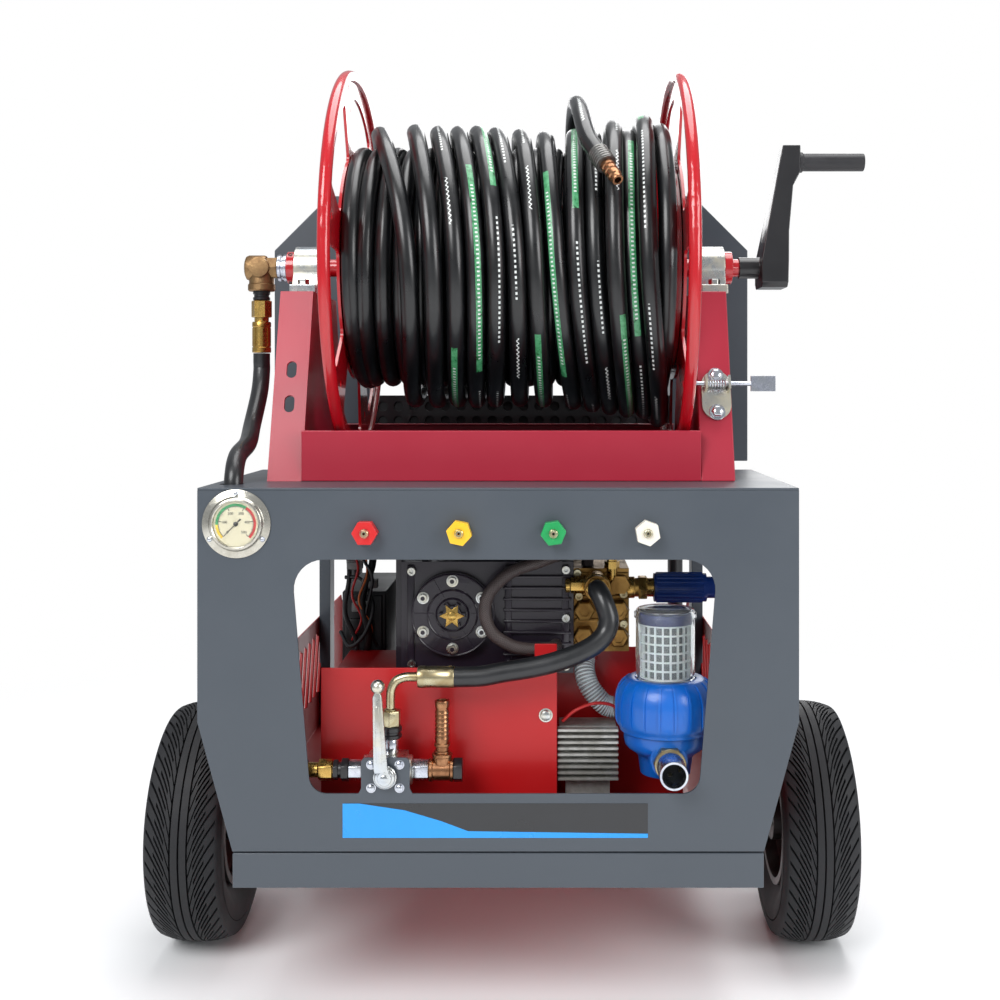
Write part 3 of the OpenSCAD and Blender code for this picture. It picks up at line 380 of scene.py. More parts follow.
@dataclass(frozen=True)
class Clear:
    """A clear plastic or glass, a little cloudy."""

    name: str
    colour: tuple
    rough: float = 0.05
    ior: float = 1.35
    shine: float = 0.9

    def make(self) -> bpy.types.Material:
        """Build the material."""
        s = Shade(self.name)
        film = s.noise(30, 5, 0.7)
        s.set(Base_Color=s.blend(s.span(film, 0.4, 0.8, 0, 0.14), self.colour, rgb(226, 228, 226)),
              Transmission_Weight=self.shine, IOR=self.ior,
              Roughness=s.span(film, 0.35, 0.75, self.rough, self.rough + 0.1))
        s.relief(s.noise(260, 3, 0.5), 0.04, 0.0003)
        return s.mat


@dataclass(frozen=True)
class HoseCover:
    """The jetting hose: glossy black cover with a printed strip of blocks, waves and dashes.

    The piece's own UV map gives metres along the hose and the share of a turn round it.
    """

    name: str = "hose_cover"
    colour: tuple = rgb(9, 10, 12)
    bloom: tuple = rgb(26, 28, 32)
    green: tuple = rgb(44, 128, 76)
    pale: tuple = rgb(96, 168, 124)
    white: tuple = rgb(214, 218, 216)
    period: float = 0.93
    first: float = 19.9

    def make(self) -> bpy.types.Material:
        """Build the material."""
        s = Shade(self.name)
        place = s.node("ShaderNodeUVMap", uv_map="along")
        parts = s.node("ShaderNodeSeparateXYZ")
        s.join(place.outputs[0], parts.inputs[0])
        along = parts.outputs[0]
        sway = s.math("ADD", s.math("MULTIPLY", s.math("SINE", s.math("MULTIPLY", along, 0.9)), 0.06),
                      s.math("MULTIPLY", s.math("SINE", s.math("MULTIPLY", along, 2.3)), 0.03))
        around = s.math("FRACT", s.math("ADD", parts.outputs[1], s.math("ADD", sway, 0.5)))
        off = s.math("SUBTRACT", around, 0.5)
        reach = s.math("ABSOLUTE", off)
        step = s.math("MODULO", along, self.period)
        strip = s.math("LESS_THAN", reach, 0.055)
        wear = s.noise(150, 5, 0.75)
        kept = s.math("MULTIPLY", s.span(wear, 0.32, 0.44), s.math("GREATER_THAN", along, self.first))
        body = s.blend(s.span(s.noise(18, 5, 0.65), 0.45, 0.8, 0, 0.45), self.colour, self.bloom)

        def between(low: float, high: float) -> bpy.types.NodeSocket:
            """Mark a length of the strip."""
            return s.math("MULTIPLY", s.math("GREATER_THAN", step, low), s.math("LESS_THAN", step, high))

        def every(pitch: float, share: float) -> bpy.types.NodeSocket:
            """Mark a share of each short pitch along the hose."""
            return s.math("LESS_THAN", s.math("MODULO", step, pitch), pitch * share)

        block = s.math("MULTIPLY", strip, between(0.42, 0.70))
        body = s.blend(s.math("MULTIPLY", block, kept), body, s.blend(s.span(wear, 0.4, 0.7), self.green, self.pale))
        narrow = s.math("LESS_THAN", reach, 0.024)
        marks = s.math("MULTIPLY", s.math("MULTIPLY", narrow, every(0.0052, 0.4)), between(0.45, 0.68))
        swing = s.math("MULTIPLY", s.math("SINE", s.math("MULTIPLY", along, 980.0)), 0.017)
        wave = s.math("LESS_THAN", s.math("ABSOLUTE", s.math("SUBTRACT", off, swing)), 0.012)
        waves = s.math("MULTIPLY", wave, between(0.20, 0.265))
        thin = s.math("MULTIPLY", s.math("LESS_THAN", reach, 0.018), every(0.0064, 0.5))
        dashes = s.math("MULTIPLY", thin, s.math("ADD", between(0.06, 0.15), between(0.74, 0.90)))
        for print_ in (marks, waves, dashes):
            body = s.blend(s.math("MULTIPLY", print_, kept), body, self.white)
        s.set(Base_Color=body, Roughness=s.span(s.noise(40, 4, 0.6), 0.3, 0.7, 0.26, 0.42),
              Coat_Weight=0.3, Coat_Roughness=0.16)
        s.relief(s.noise(500, 3, 0.6), 0.10, 0.0004)
        return s.mat


@dataclass(frozen=True)
class Braid:
    """A hose cover woven of fine strands, crossing both ways."""

    name: str
    colour: tuple
    strand: tuple
    rough: float = 0.5
    count: float = 14.0

    def make(self) -> bpy.types.Material:
        """Build the material."""
        s = Shade(self.name)
        place = s.node("ShaderNodeUVMap", uv_map="along")
        parts = s.node("ShaderNodeSeparateXYZ")
        s.join(place.outputs[0], parts.inputs[0])
        run = s.math("MULTIPLY", parts.outputs[0], 330.0)
        turn = s.math("MULTIPLY", parts.outputs[1], self.count)
        one = s.math("PINGPONG", s.math("ADD", run, turn), 0.5)
        two = s.math("PINGPONG", s.math("SUBTRACT", run, turn), 0.5)
        weave = s.math("MULTIPLY", s.math("MAXIMUM", one, two), 2.0)
        dirt = s.noise(60, 5, 0.7)
        tint = s.blend(s.span(weave, 0.35, 0.95), self.colour, self.strand)
        tint = s.blend(s.span(dirt, 0.4, 0.8, 0, 0.4), tint, self.colour)
        s.set(Base_Color=tint, Roughness=s.span(dirt, 0.3, 0.7, self.rough - 0.06, self.rough + 0.1))
        s.relief(weave, 0.5, 0.0006)
        return s.mat


class Finishes:
    """The finishes of the machine, each made once when it is first asked for."""

    def __init__(self) -> None:
        """List the finishes by their plain names."""
        dust = rgb(120, 122, 124)
        known = [
            Paint("slate", rgb(62, 69, 77), rgb(92, 98, 105), 0.38, 0.08, 0.14),
            Paint("portal_grey", rgb(54, 61, 69), rgb(80, 86, 93), 0.40, 0.06, 0.14),
            Paint("chassis_grey", rgb(46, 49, 54), rgb(84, 88, 92), 0.42),
            Paint("frame_red", rgb(160, 16, 44), rgb(180, 48, 70), 0.42, 0.10, 0.08),
            Paint("reel_red", rgb(176, 6, 22), rgb(206, 40, 44), 0.20, 0.65, 0.08, 0.08),
            Paint("tray_red", rgb(176, 4, 10), rgb(196, 34, 34), 0.42, 0.12, 0.08),
            Paint("black_satin", rgb(17, 17, 20), rgb(52, 52, 56), 0.32, 0.25, 0.08, 0.10),
            Paint("pump_purple", rgb(27, 19, 31), rgb(50, 40, 56), 0.34, 0.25, 0.15, 0.25, 500.0),
            Plate("engine_cast", rgb(62, 63, 66), rgb(84, 86, 88), 0.5, 0.15, 18, 0.35, None, 0.6),
            Plate("zinc", rgb(196, 202, 208), rgb(214, 208, 186), 0.26, 0.22, 24),
            Plate("zinc_bright", rgb(214, 218, 222), rgb(186, 190, 204), 0.20, 0.16, 30),
            Plate("rim_steel", rgb(94, 90, 88), rgb(70, 66, 66), 0.36, 0.2, 20, 0.0, (8, 1, 8)),
            Plate("bronze", rgb(160, 130, 92), rgb(126, 98, 70), 0.42, 0.2, 34, 0.35),
            Plate("brass", rgb(206, 172, 98), rgb(180, 140, 74), 0.24, 0.16, 40, 0.0, (1, 40, 40)),
            Plate("brass_cast", rgb(160, 124, 70), rgb(118, 86, 46), 0.36, 0.2, 40, 0.25),
            Plate("copper", rgb(172, 126, 92), rgb(128, 88, 62), 0.28, 0.16, 50),
            Plate("champagne", rgb(206, 203, 192), rgb(182, 178, 166), 0.24, 0.14, 30),
            Plate("fin_alu", rgb(196, 196, 192), rgb(160, 158, 150), 0.42, 0.16, 40, 0.12, (60, 1, 1), 0.7),
            Plate("crimp_steel", rgb(128, 128, 126), rgb(92, 90, 87), 0.36, 0.18, 60),
            Plate("bronze_zinc", rgb(196, 190, 160), rgb(160, 142, 104), 0.28, 0.2, 40),
            Moulded("tyre_rubber", rgb(17, 18, 21), rgb(40, 41, 46), 0.62, 700, 0.25),
            Moulded("caster_rubber", rgb(38, 38, 40), rgb(72, 72, 74), 0.6, 600, 0.2),
            Moulded("black_plastic", rgb(24, 24, 27), rgb(52, 52, 56), 0.42),
            Moulded("grip_rubber", rgb(30, 30, 32), rgb(60, 60, 64), 0.55, 900, 0.3),
            Moulded("blue_plastic", rgb(0, 90, 182), rgb(10, 118, 208), 0.36, 900, 0.10, 0.2),
            Moulded("knob_blue", rgb(0, 38, 104), rgb(14, 62, 140), 0.36, 900, 0.12, 0.3),
            Moulded("band_blue", rgb(8, 28, 84), rgb(20, 46, 108), 0.4, 900, 0.1),
            Moulded("red_plastic", rgb(196, 16, 22), rgb(220, 60, 50), 0.34, 900, 0.1, 0.2, 0.05),
            Moulded("yellow_plastic", rgb(238, 184, 20), rgb(244, 206, 80), 0.36, 900, 0.1, 0.2, 0.08),
            Moulded("green_plastic", rgb(20, 148, 78), rgb(60, 176, 110), 0.36, 900, 0.1, 0.2, 0.05),
            Moulded("white_plastic", rgb(228, 224, 212), rgb(206, 200, 184), 0.38, 900, 0.1, 0.2, 0.1),
            Moulded("basket_white", rgb(222, 226, 224), rgb(196, 200, 198), 0.45, 900, 0.08, 0.0, 0.1),
            Moulded("mesh_grey", rgb(84, 88, 88), rgb(116, 120, 118), 0.6, 2600, 0.6),
            # painted shade: the matte near-black of the sheet behind the perforated guard
            Moulded("painted_shade_black", rgb(15, 16, 19), rgb(26, 27, 30), 0.7, 700, 0.1),
            Moulded("olive_trim", rgb(98, 96, 84), rgb(124, 122, 108), 0.5, 800, 0.15),
            Moulded("plug_grey", rgb(120, 122, 122), rgb(148, 148, 146), 0.5, 800, 0.15),
            Moulded("wire_orange", rgb(198, 92, 30), rgb(206, 120, 60), 0.4, 900, 0.1),
            Moulded("coil_white", rgb(196, 202, 206), rgb(150, 158, 166), 0.4, 900, 0.08),
            Moulded("dial_cream", rgb(226, 216, 186), rgb(214, 204, 172), 0.5, 400, 0.02),
            Moulded("dial_red", rgb(206, 30, 30), rgb(190, 40, 36), 0.5, 400, 0.02),
            Moulded("dial_green", rgb(36, 150, 84), rgb(50, 160, 96), 0.5, 400, 0.02),
            Moulded("dial_yellow", rgb(236, 196, 40), rgb(226, 190, 60), 0.5, 400, 0.02),
            Moulded("ink_black", rgb(16, 16, 18), rgb(30, 30, 32), 0.4, 400, 0.02),
            Moulded("decal_blue", rgb(0, 142, 224), rgb(20, 156, 232), 0.3, 500, 0.03, 0.4),
            Moulded("decal_black", rgb(18, 19, 22), rgb(40, 42, 46), 0.3, 500, 0.03, 0.4),
            Moulded("wire_red", rgb(176, 24, 26), rgb(196, 60, 56), 0.4, 900, 0.1),
            Moulded("label_white", rgb(220, 222, 222), rgb(200, 202, 204), 0.4, 500, 0.03),
            Clear("clear_plastic", rgb(244, 248, 250), 0.03, 1.12, 0.95),
            Clear("glass", rgb(250, 252, 252), 0.01, 1.12, 0.97),
            Clear("suction_clear", rgb(214, 222, 224), 0.14, 1.15, 0.75),
            HoseCover(),
            Braid("braid_brown", rgb(34, 26, 26), rgb(86, 74, 72)),
            Moulded("feed_rubber", rgb(19, 20, 22), rgb(50, 52, 56), 0.36, 800, 0.18, 0.25),
        ]
        self.known = {finish.name: finish for finish in known}
        self.made: dict[str, bpy.types.Material] = {}
        self.dust = dust

    def get(self, name: str) -> bpy.types.Material:
        """Give the material of a finish.

        Args:
            name: The finish's plain name.

        Returns:
            The material, made the first time.
        """
        if name not in self.made:
            self.made[name] = self.known[name].make()
        return self.made[name]


FINISHES = Finishes()


# ---- shaping
class Form:
    """A mesh in the making, measured in the machine's millimetres."""

    def __init__(self) -> None:
        """Start an empty mesh."""
        self.bm = bmesh.new()

    def _place(self, verts: list, axis: Axis, spot: tuple) -> list:
        """Turn new points from along Z to along an axis and move them.

        Args:
            verts: The points.
            axis: The direction.
            spot: Where their origin goes.

        Returns:
            The points.
        """
        bmesh.ops.transform(self.bm, matrix=Matrix.Translation(spot) @ axis.turn().to_4x4(), verts=verts)
        return verts

    def box(self, low: tuple, high: tuple) -> list:
        """Add a block between two corners and give its points."""
        size = [h - l for l, h in zip(low, high)]
        middle = [(h + l) / 2 for l, h in zip(low, high)]
        verts = bmesh.ops.create_cube(self.bm, size=1.0)["verts"]
        matrix = Matrix.Translation(middle) @ Matrix.Diagonal((*size, 1.0))
        bmesh.ops.transform(self.bm, matrix=matrix, verts=verts)
        return verts

    def rod(self, spot: tuple, axis: Axis, d: float, length: float, sides: int = 40,
            end_d: float | None = None) -> list:
        """Add a round or cornered rod.

        Args:
            spot: The middle of its first end.
            axis: Its direction.
            d: Its diameter.
            length: Its length.
            sides: Its sides.
            end_d: The diameter of its far end, where that differs.

        Returns:
            Its points.
        """
        far = d if end_d is None else end_d
        verts = bmesh.ops.create_cone(self.bm, cap_ends=True, segments=sides, radius1=d / 2, radius2=far / 2,
                                      depth=length)["verts"]
        bmesh.ops.translate(self.bm, vec=(0, 0, length / 2), verts=verts)
        return self._place(verts, axis, spot)

    def turned(self, profile: list[tuple[float, float]], spot: tuple, axis: Axis, sides: int = 48) -> list:
        """Spin a profile of radii and distances along the axis.

        Args:
            profile: Pairs of radius and distance; a closed ring when the last pair is the first.
            spot: The point where the distance is nought.
            axis: The direction of the axis.
            sides: Steps of the turn.

        Returns:
            Its points.
        """
        closed = profile[0] == profile[-1]
        pairs = profile[:-1] if closed else profile
        line = [self.bm.verts.new((r, 0, z)) for r, z in pairs]
        edges = [self.bm.edges.new(pair) for pair in zip(line, line[1:])]
        if closed:
            edges.append(self.bm.edges.new((line[-1], line[0])))
        before = set(self.bm.verts) - set(line)
        bmesh.ops.spin(self.bm, geom=[*line, *edges], cent=(0, 0, 0), axis=(0, 0, 1), angle=math.tau,
                       steps=sides, use_merge=True)
        verts = [v for v in self.bm.verts if v not in before]
        bmesh.ops.remove_doubles(self.bm, verts=verts, dist=0.001)
        verts = [v for v in self.bm.verts if v not in before]
        return self._place(verts, axis, spot)

    def prism(self, outline: list[tuple[float, float]], spot: tuple, axis: Axis, depth: float) -> list:
        """Raise an outline along an axis.

        Args:
            outline: Its corners: across and up for Y, back and up for X, across and back for Z.
            spot: Where the outline's origin goes.
            axis: The direction in which it is raised.
            depth: How far.

        Returns:
            Its points.
        """
        def lay(u: float, v: float) -> tuple:
            """Place one corner in the outline's plane."""
            return {Axis.X: (0, u, v), Axis.Y: (u, 0, v), Axis.Z: (u, v, 0)}[axis]

        corners = [self.bm.verts.new(Vector(lay(u, v)) + Vector(spot)) for u, v in outline]
        face = self.bm.faces.new(corners)
        push = [0.0, 0.0, 0.0]
        push[axis.value] = depth
        grown = bmesh.ops.extrude_face_region(self.bm, geom=[face])["geom"]
        moved = [g for g in grown if isinstance(g, bmesh.types.BMVert)]
        bmesh.ops.translate(self.bm, vec=push, verts=moved)
        return corners + moved

    def tube(self, path: list[Vector], d: float | list[float], sides: int = 14, capped: bool = True,
             gauge: bool = False, seam: Vector | None = None) -> list:
        """Draw a round section along a path.

        Args:
            path: The points of its middle line.
            d: Its diameter, or one for each point.
            sides: The sides of the section.
            capped: Whether its ends are closed.
            gauge: Whether it gets a UV map of metres along and share of a turn.
            seam: A point of a line across the machine that the section's first corner faces away from.

        Returns:
            Its points.
        """
        sizes = d if isinstance(d, list) else [d] * len(path)
        uv = self.bm.loops.layers.uv.get("along") or self.bm.loops.layers.uv.new("along") if gauge else None
        side = None
        rings, marks, far = [], [], 0.0
        for i, point in enumerate(path):
            ahead = (path[min(i + 1, len(path) - 1)] - path[max(i - 1, 0)]).normalized()
            if seam is not None:
                side = Vector((0, point.y - seam.y, point.z - seam.z))
            elif side is None:
                side = ahead.orthogonal()
            side = (side - ahead * side.dot(ahead)).normalized()
            up = ahead.cross(side)
            far += (point - path[i - 1]).length if i else 0.0
            marks.append(far / 1000)
            rings.append([self.bm.verts.new(point + sizes[i] / 2 * (side * math.cos(a) + up * math.sin(a)))
                          for a in (math.tau * k / sides for k in range(sides))])
        for i in range(len(rings) - 1):
            for k in range(sides):
                after = (k + 1) % sides
                face = self.bm.faces.new((rings[i][k], rings[i][after], rings[i + 1][after], rings[i + 1][k]))
                if uv:
                    spots = ((marks[i], k), (marks[i], k + 1), (marks[i + 1], k + 1), (marks[i + 1], k))
                    for loop, (run, turn) in zip(face.loops, spots):
                        loop[uv].uv = (run, turn / sides)
        if capped:
            self.bm.faces.new(list(reversed(rings[0])))
            self.bm.faces.new(rings[-1])
        return [v for ring in rings for v in ring]

    def shift(self, verts: list, by: tuple) -> list:
        """Move points and give them back."""
        bmesh.ops.translate(self.bm, vec=by, verts=verts)
        return verts

    def spin(self, verts: list, spot: tuple, axis: Axis, degrees: float) -> list:
        """Turn points about an axis through a spot and give them back."""
        way = [0.0, 0.0, 0.0]
        way[axis.value] = 1.0
        bmesh.ops.rotate(self.bm, cent=spot, matrix=Matrix.Rotation(math.radians(degrees), 3, Vector(way)),
                         verts=verts)
        return verts

    def round_edges(self, width: float, segments: int = 2, least: float = 30.0, verts: list | None = None) -> None:
        """Round the sharp edges.

        Args:
            width: The width of the rounding.
            segments: Its steps.
            least: The least angle that counts as sharp, in degrees.
            verts: Only edges between these points, or all.
        """
        chosen = set(verts) if verts else None
        limit = math.radians(least)
        edges = [e for e in self.bm.edges if len(e.link_faces) == 2 and e.calc_face_angle(0.0) > limit
                 and (chosen is None or (e.verts[0] in chosen and e.verts[1] in chosen))]
        bmesh.ops.bevel(self.bm, geom=edges, offset=width, offset_type="OFFSET", affect="EDGES",
                        segments=segments, profile=0.5, material=-1, clamp_overlap=True)

    def piece(self, name: str, finish: str, body: str = "chassis", slot: str | None = None,
              stands_for: tuple = (), smooth: float = 35.0, outward: bool = True) -> bpy.types.Object:
        """Turn the mesh into a piece of the machine.

        Args:
            name: The piece's name.
            finish: Its finish.
            body: The body it rides on.
            slot: The record's material slot, passed on to settle.
            stands_for: CAD nodes that it replaces.
            smooth: Edges under this angle are shaded smooth.
            outward: Whether the faces are turned outwards first.

        Returns:
            The piece.
        """
        if outward:
            bmesh.ops.recalc_face_normals(self.bm, faces=self.bm.faces[:])
        for vert in self.bm.verts:
            vert.co = at(*vert.co)
        mesh = bpy.data.meshes.new(name)
        self.bm.to_mesh(mesh)
        self.bm.free()
        made = bpy.data.objects.new(name, mesh)
        bpy.context.scene.collection.objects.link(made)
        mesh.materials.append(FINISHES.get(finish))
        mesh.shade_smooth()
        mesh.set_sharp_from_angle(angle=math.radians(smooth))
        return settle(made, body, slot, stands_for)


def settle(made: bpy.types.Object, body: str, slot: str | None, stands_for: tuple = ()) -> bpy.types.Object:
    """Tie a finished piece to its body and hide the nodes it stands for.

    Args:
        made: The piece.
        body: The body it rides on.
        slot: Not used.
        stands_for: CAD nodes that it replaces.

    Returns:
        The piece.
    """
    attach(made, body)
    if stands_for:
        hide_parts(*stands_for)
    return made


@dataclass
class Skin:
    """A copy of a CAD node with its edges rounded, standing in its place."""

    node: str
    finish: str
    slot: str
    body: str = "chassis"
    edge: float = 0.8
    steps: int = 2
    least: float = 32.0

    def build(self) -> bpy.types.Object:
        """Merge a copy of the node's loose triangles, round its edges and dress it.

        Returns:
            The piece.
        """
        bm = bmesh.new()
        bm.from_mesh(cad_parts[self.node].data)
        bmesh.ops.remove_doubles(bm, verts=bm.verts[:], dist=2e-6)
        bmesh.ops.dissolve_degenerate(bm, edges=bm.edges[:], dist=1e-6)
        bmesh.ops.dissolve_limit(bm, angle_limit=math.radians(1.0), verts=bm.verts[:], edges=bm.edges[:])
        mesh = bpy.data.meshes.new(self.node + "_skin")
        bm.to_mesh(mesh)
        bm.free()
        made = bpy.data.objects.new(self.node + "_skin", mesh)
        bpy.context.scene.collection.objects.link(made)
        mesh.materials.append(FINISHES.get(self.finish))
        mesh.shade_smooth()
        mesh.set_sharp_from_angle(angle=math.radians(35))
        if self.edge:
            bevel = made.modifiers.new("edges", "BEVEL")
            bevel.width = self.edge / 1000
            bevel.segments = self.steps
            bevel.limit_method = "ANGLE"
            bevel.angle_limit = math.radians(self.least)
            bevel.use_clamp_overlap = True
            bevel.harden_normals = True
        return settle(made, self.body, self.slot, (self.node,))


# ---- camera, floor and light
@dataclass
class Studio:
    """The camera at the photograph's angle, a plain pale floor and soft lamps."""

    eye: tuple = (56.0, -1495.0, 770.0)
    lens: float = 45.0
    shift: tuple = (-0.045, -0.11)
    floor: float = 30.0
    lamps: list = field(default_factory=lambda: [
        ("key", (-1500, -2300, 2600), 2.0, 88.0),
        ("fill", (2200, -1500, 1500), 1.6, 36.0),
        ("top", (200, 400, 3000), 2.2, 52.0),
        ("rim", (600, 2600, 1800), 1.8, 26.0),
    ])

    def build(self) -> None:
        """Place the camera, floor, lamps and world."""
        scene = bpy.context.scene
        lens = bpy.data.cameras.new("camera")
        lens.lens = self.lens
        lens.sensor_width = 36.0
        lens.shift_x, lens.shift_y = self.shift
        lens.clip_end = 60
        camera = bpy.data.objects.new("camera", lens)
        camera.location = at(*self.eye)
        camera.rotation_euler = (math.radians(90), 0, 0)
        scene.collection.objects.link(camera)
        scene.camera = camera
        scene.view_settings.view_transform = "Standard"
        self._floor()
        for name, spot, size, power in self.lamps:
            lamp = bpy.data.lights.new(name, "AREA")
            lamp.shape = "DISK"
            lamp.size = size
            lamp.energy = power
            made = bpy.data.objects.new(name, lamp)
            made.location = at(*spot)
            made.rotation_euler = (at(22, 300, 600) - made.location).to_track_quat("-Z", "Y").to_euler()
            scene.collection.objects.link(made)
        self._world()

    def _floor(self) -> None:
        """Lay the pale floor and let it pass into the white background."""
        bm = bmesh.new()
        bmesh.ops.create_circle(bm, cap_ends=True, radius=self.floor, segments=96)
        mesh = bpy.data.meshes.new("floor")
        bm.to_mesh(mesh)
        bm.free()
        floor = bpy.data.objects.new("floor", mesh)
        bpy.context.scene.collection.objects.link(floor)
        s = Shade("floor_paper")
        reach = s.node("ShaderNodeVectorMath", operation="LENGTH")
        s.join(s.where(), reach.inputs[0])
        fade = s.span(reach.outputs["Value"], 0.75, 1.9)
        paper = s.blend(s.noise(3, 3), rgb(246, 247, 248), rgb(252, 252, 253))
        path = s.node("ShaderNodeLightPath")
        seen = s.math("MAXIMUM", path.outputs["Is Camera Ray"], path.outputs["Is Transmission Ray"])
        bright = s.math("MULTIPLY", fade, seen)
        s.set(Base_Color=s.blend(bright, paper, (0, 0, 0, 1)), Roughness=0.9, Specular_IOR_Level=0.0,
              Emission_Color=(1, 1, 1, 1), Emission_Strength=bright)
        mesh.materials.append(s.mat)
        floor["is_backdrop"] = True

    def _world(self) -> None:
        """Light the room softly and show white to the camera."""
        world = bpy.data.worlds.new("room")
        bpy.context.scene.world = world
        world.use_nodes = True
        tree = world.node_tree
        tree.nodes.clear()
        path = tree.nodes.new("ShaderNodeLightPath")
        seen = tree.nodes.new("ShaderNodeMath")
        seen.operation = "MAXIMUM"
        tree.links.new(path.outputs["Is Camera Ray"], seen.inputs[0])
        tree.links.new(path.outputs["Is Transmission Ray"], seen.inputs[1])
        soft, white = (tree.nodes.new("ShaderNodeBackground") for _ in range(2))
        soft.inputs[0].default_value = (0.93, 0.96, 1.0, 1)
        soft.inputs[1].default_value = 0.42
        white.inputs[0].default_value = (1, 1, 1, 1)
        white.inputs[1].default_value = 1.0
        mix = tree.nodes.new("ShaderNodeMixShader")
        tree.links.new(seen.outputs[0], mix.inputs[0])
        tree.links.new(soft.outputs[0], mix.inputs[1])
        tree.links.new(white.outputs[0], mix.inputs[2])
        out = tree.nodes.new("ShaderNodeOutputWorld")
        tree.links.new(mix.outputs[0], out.inputs[0])


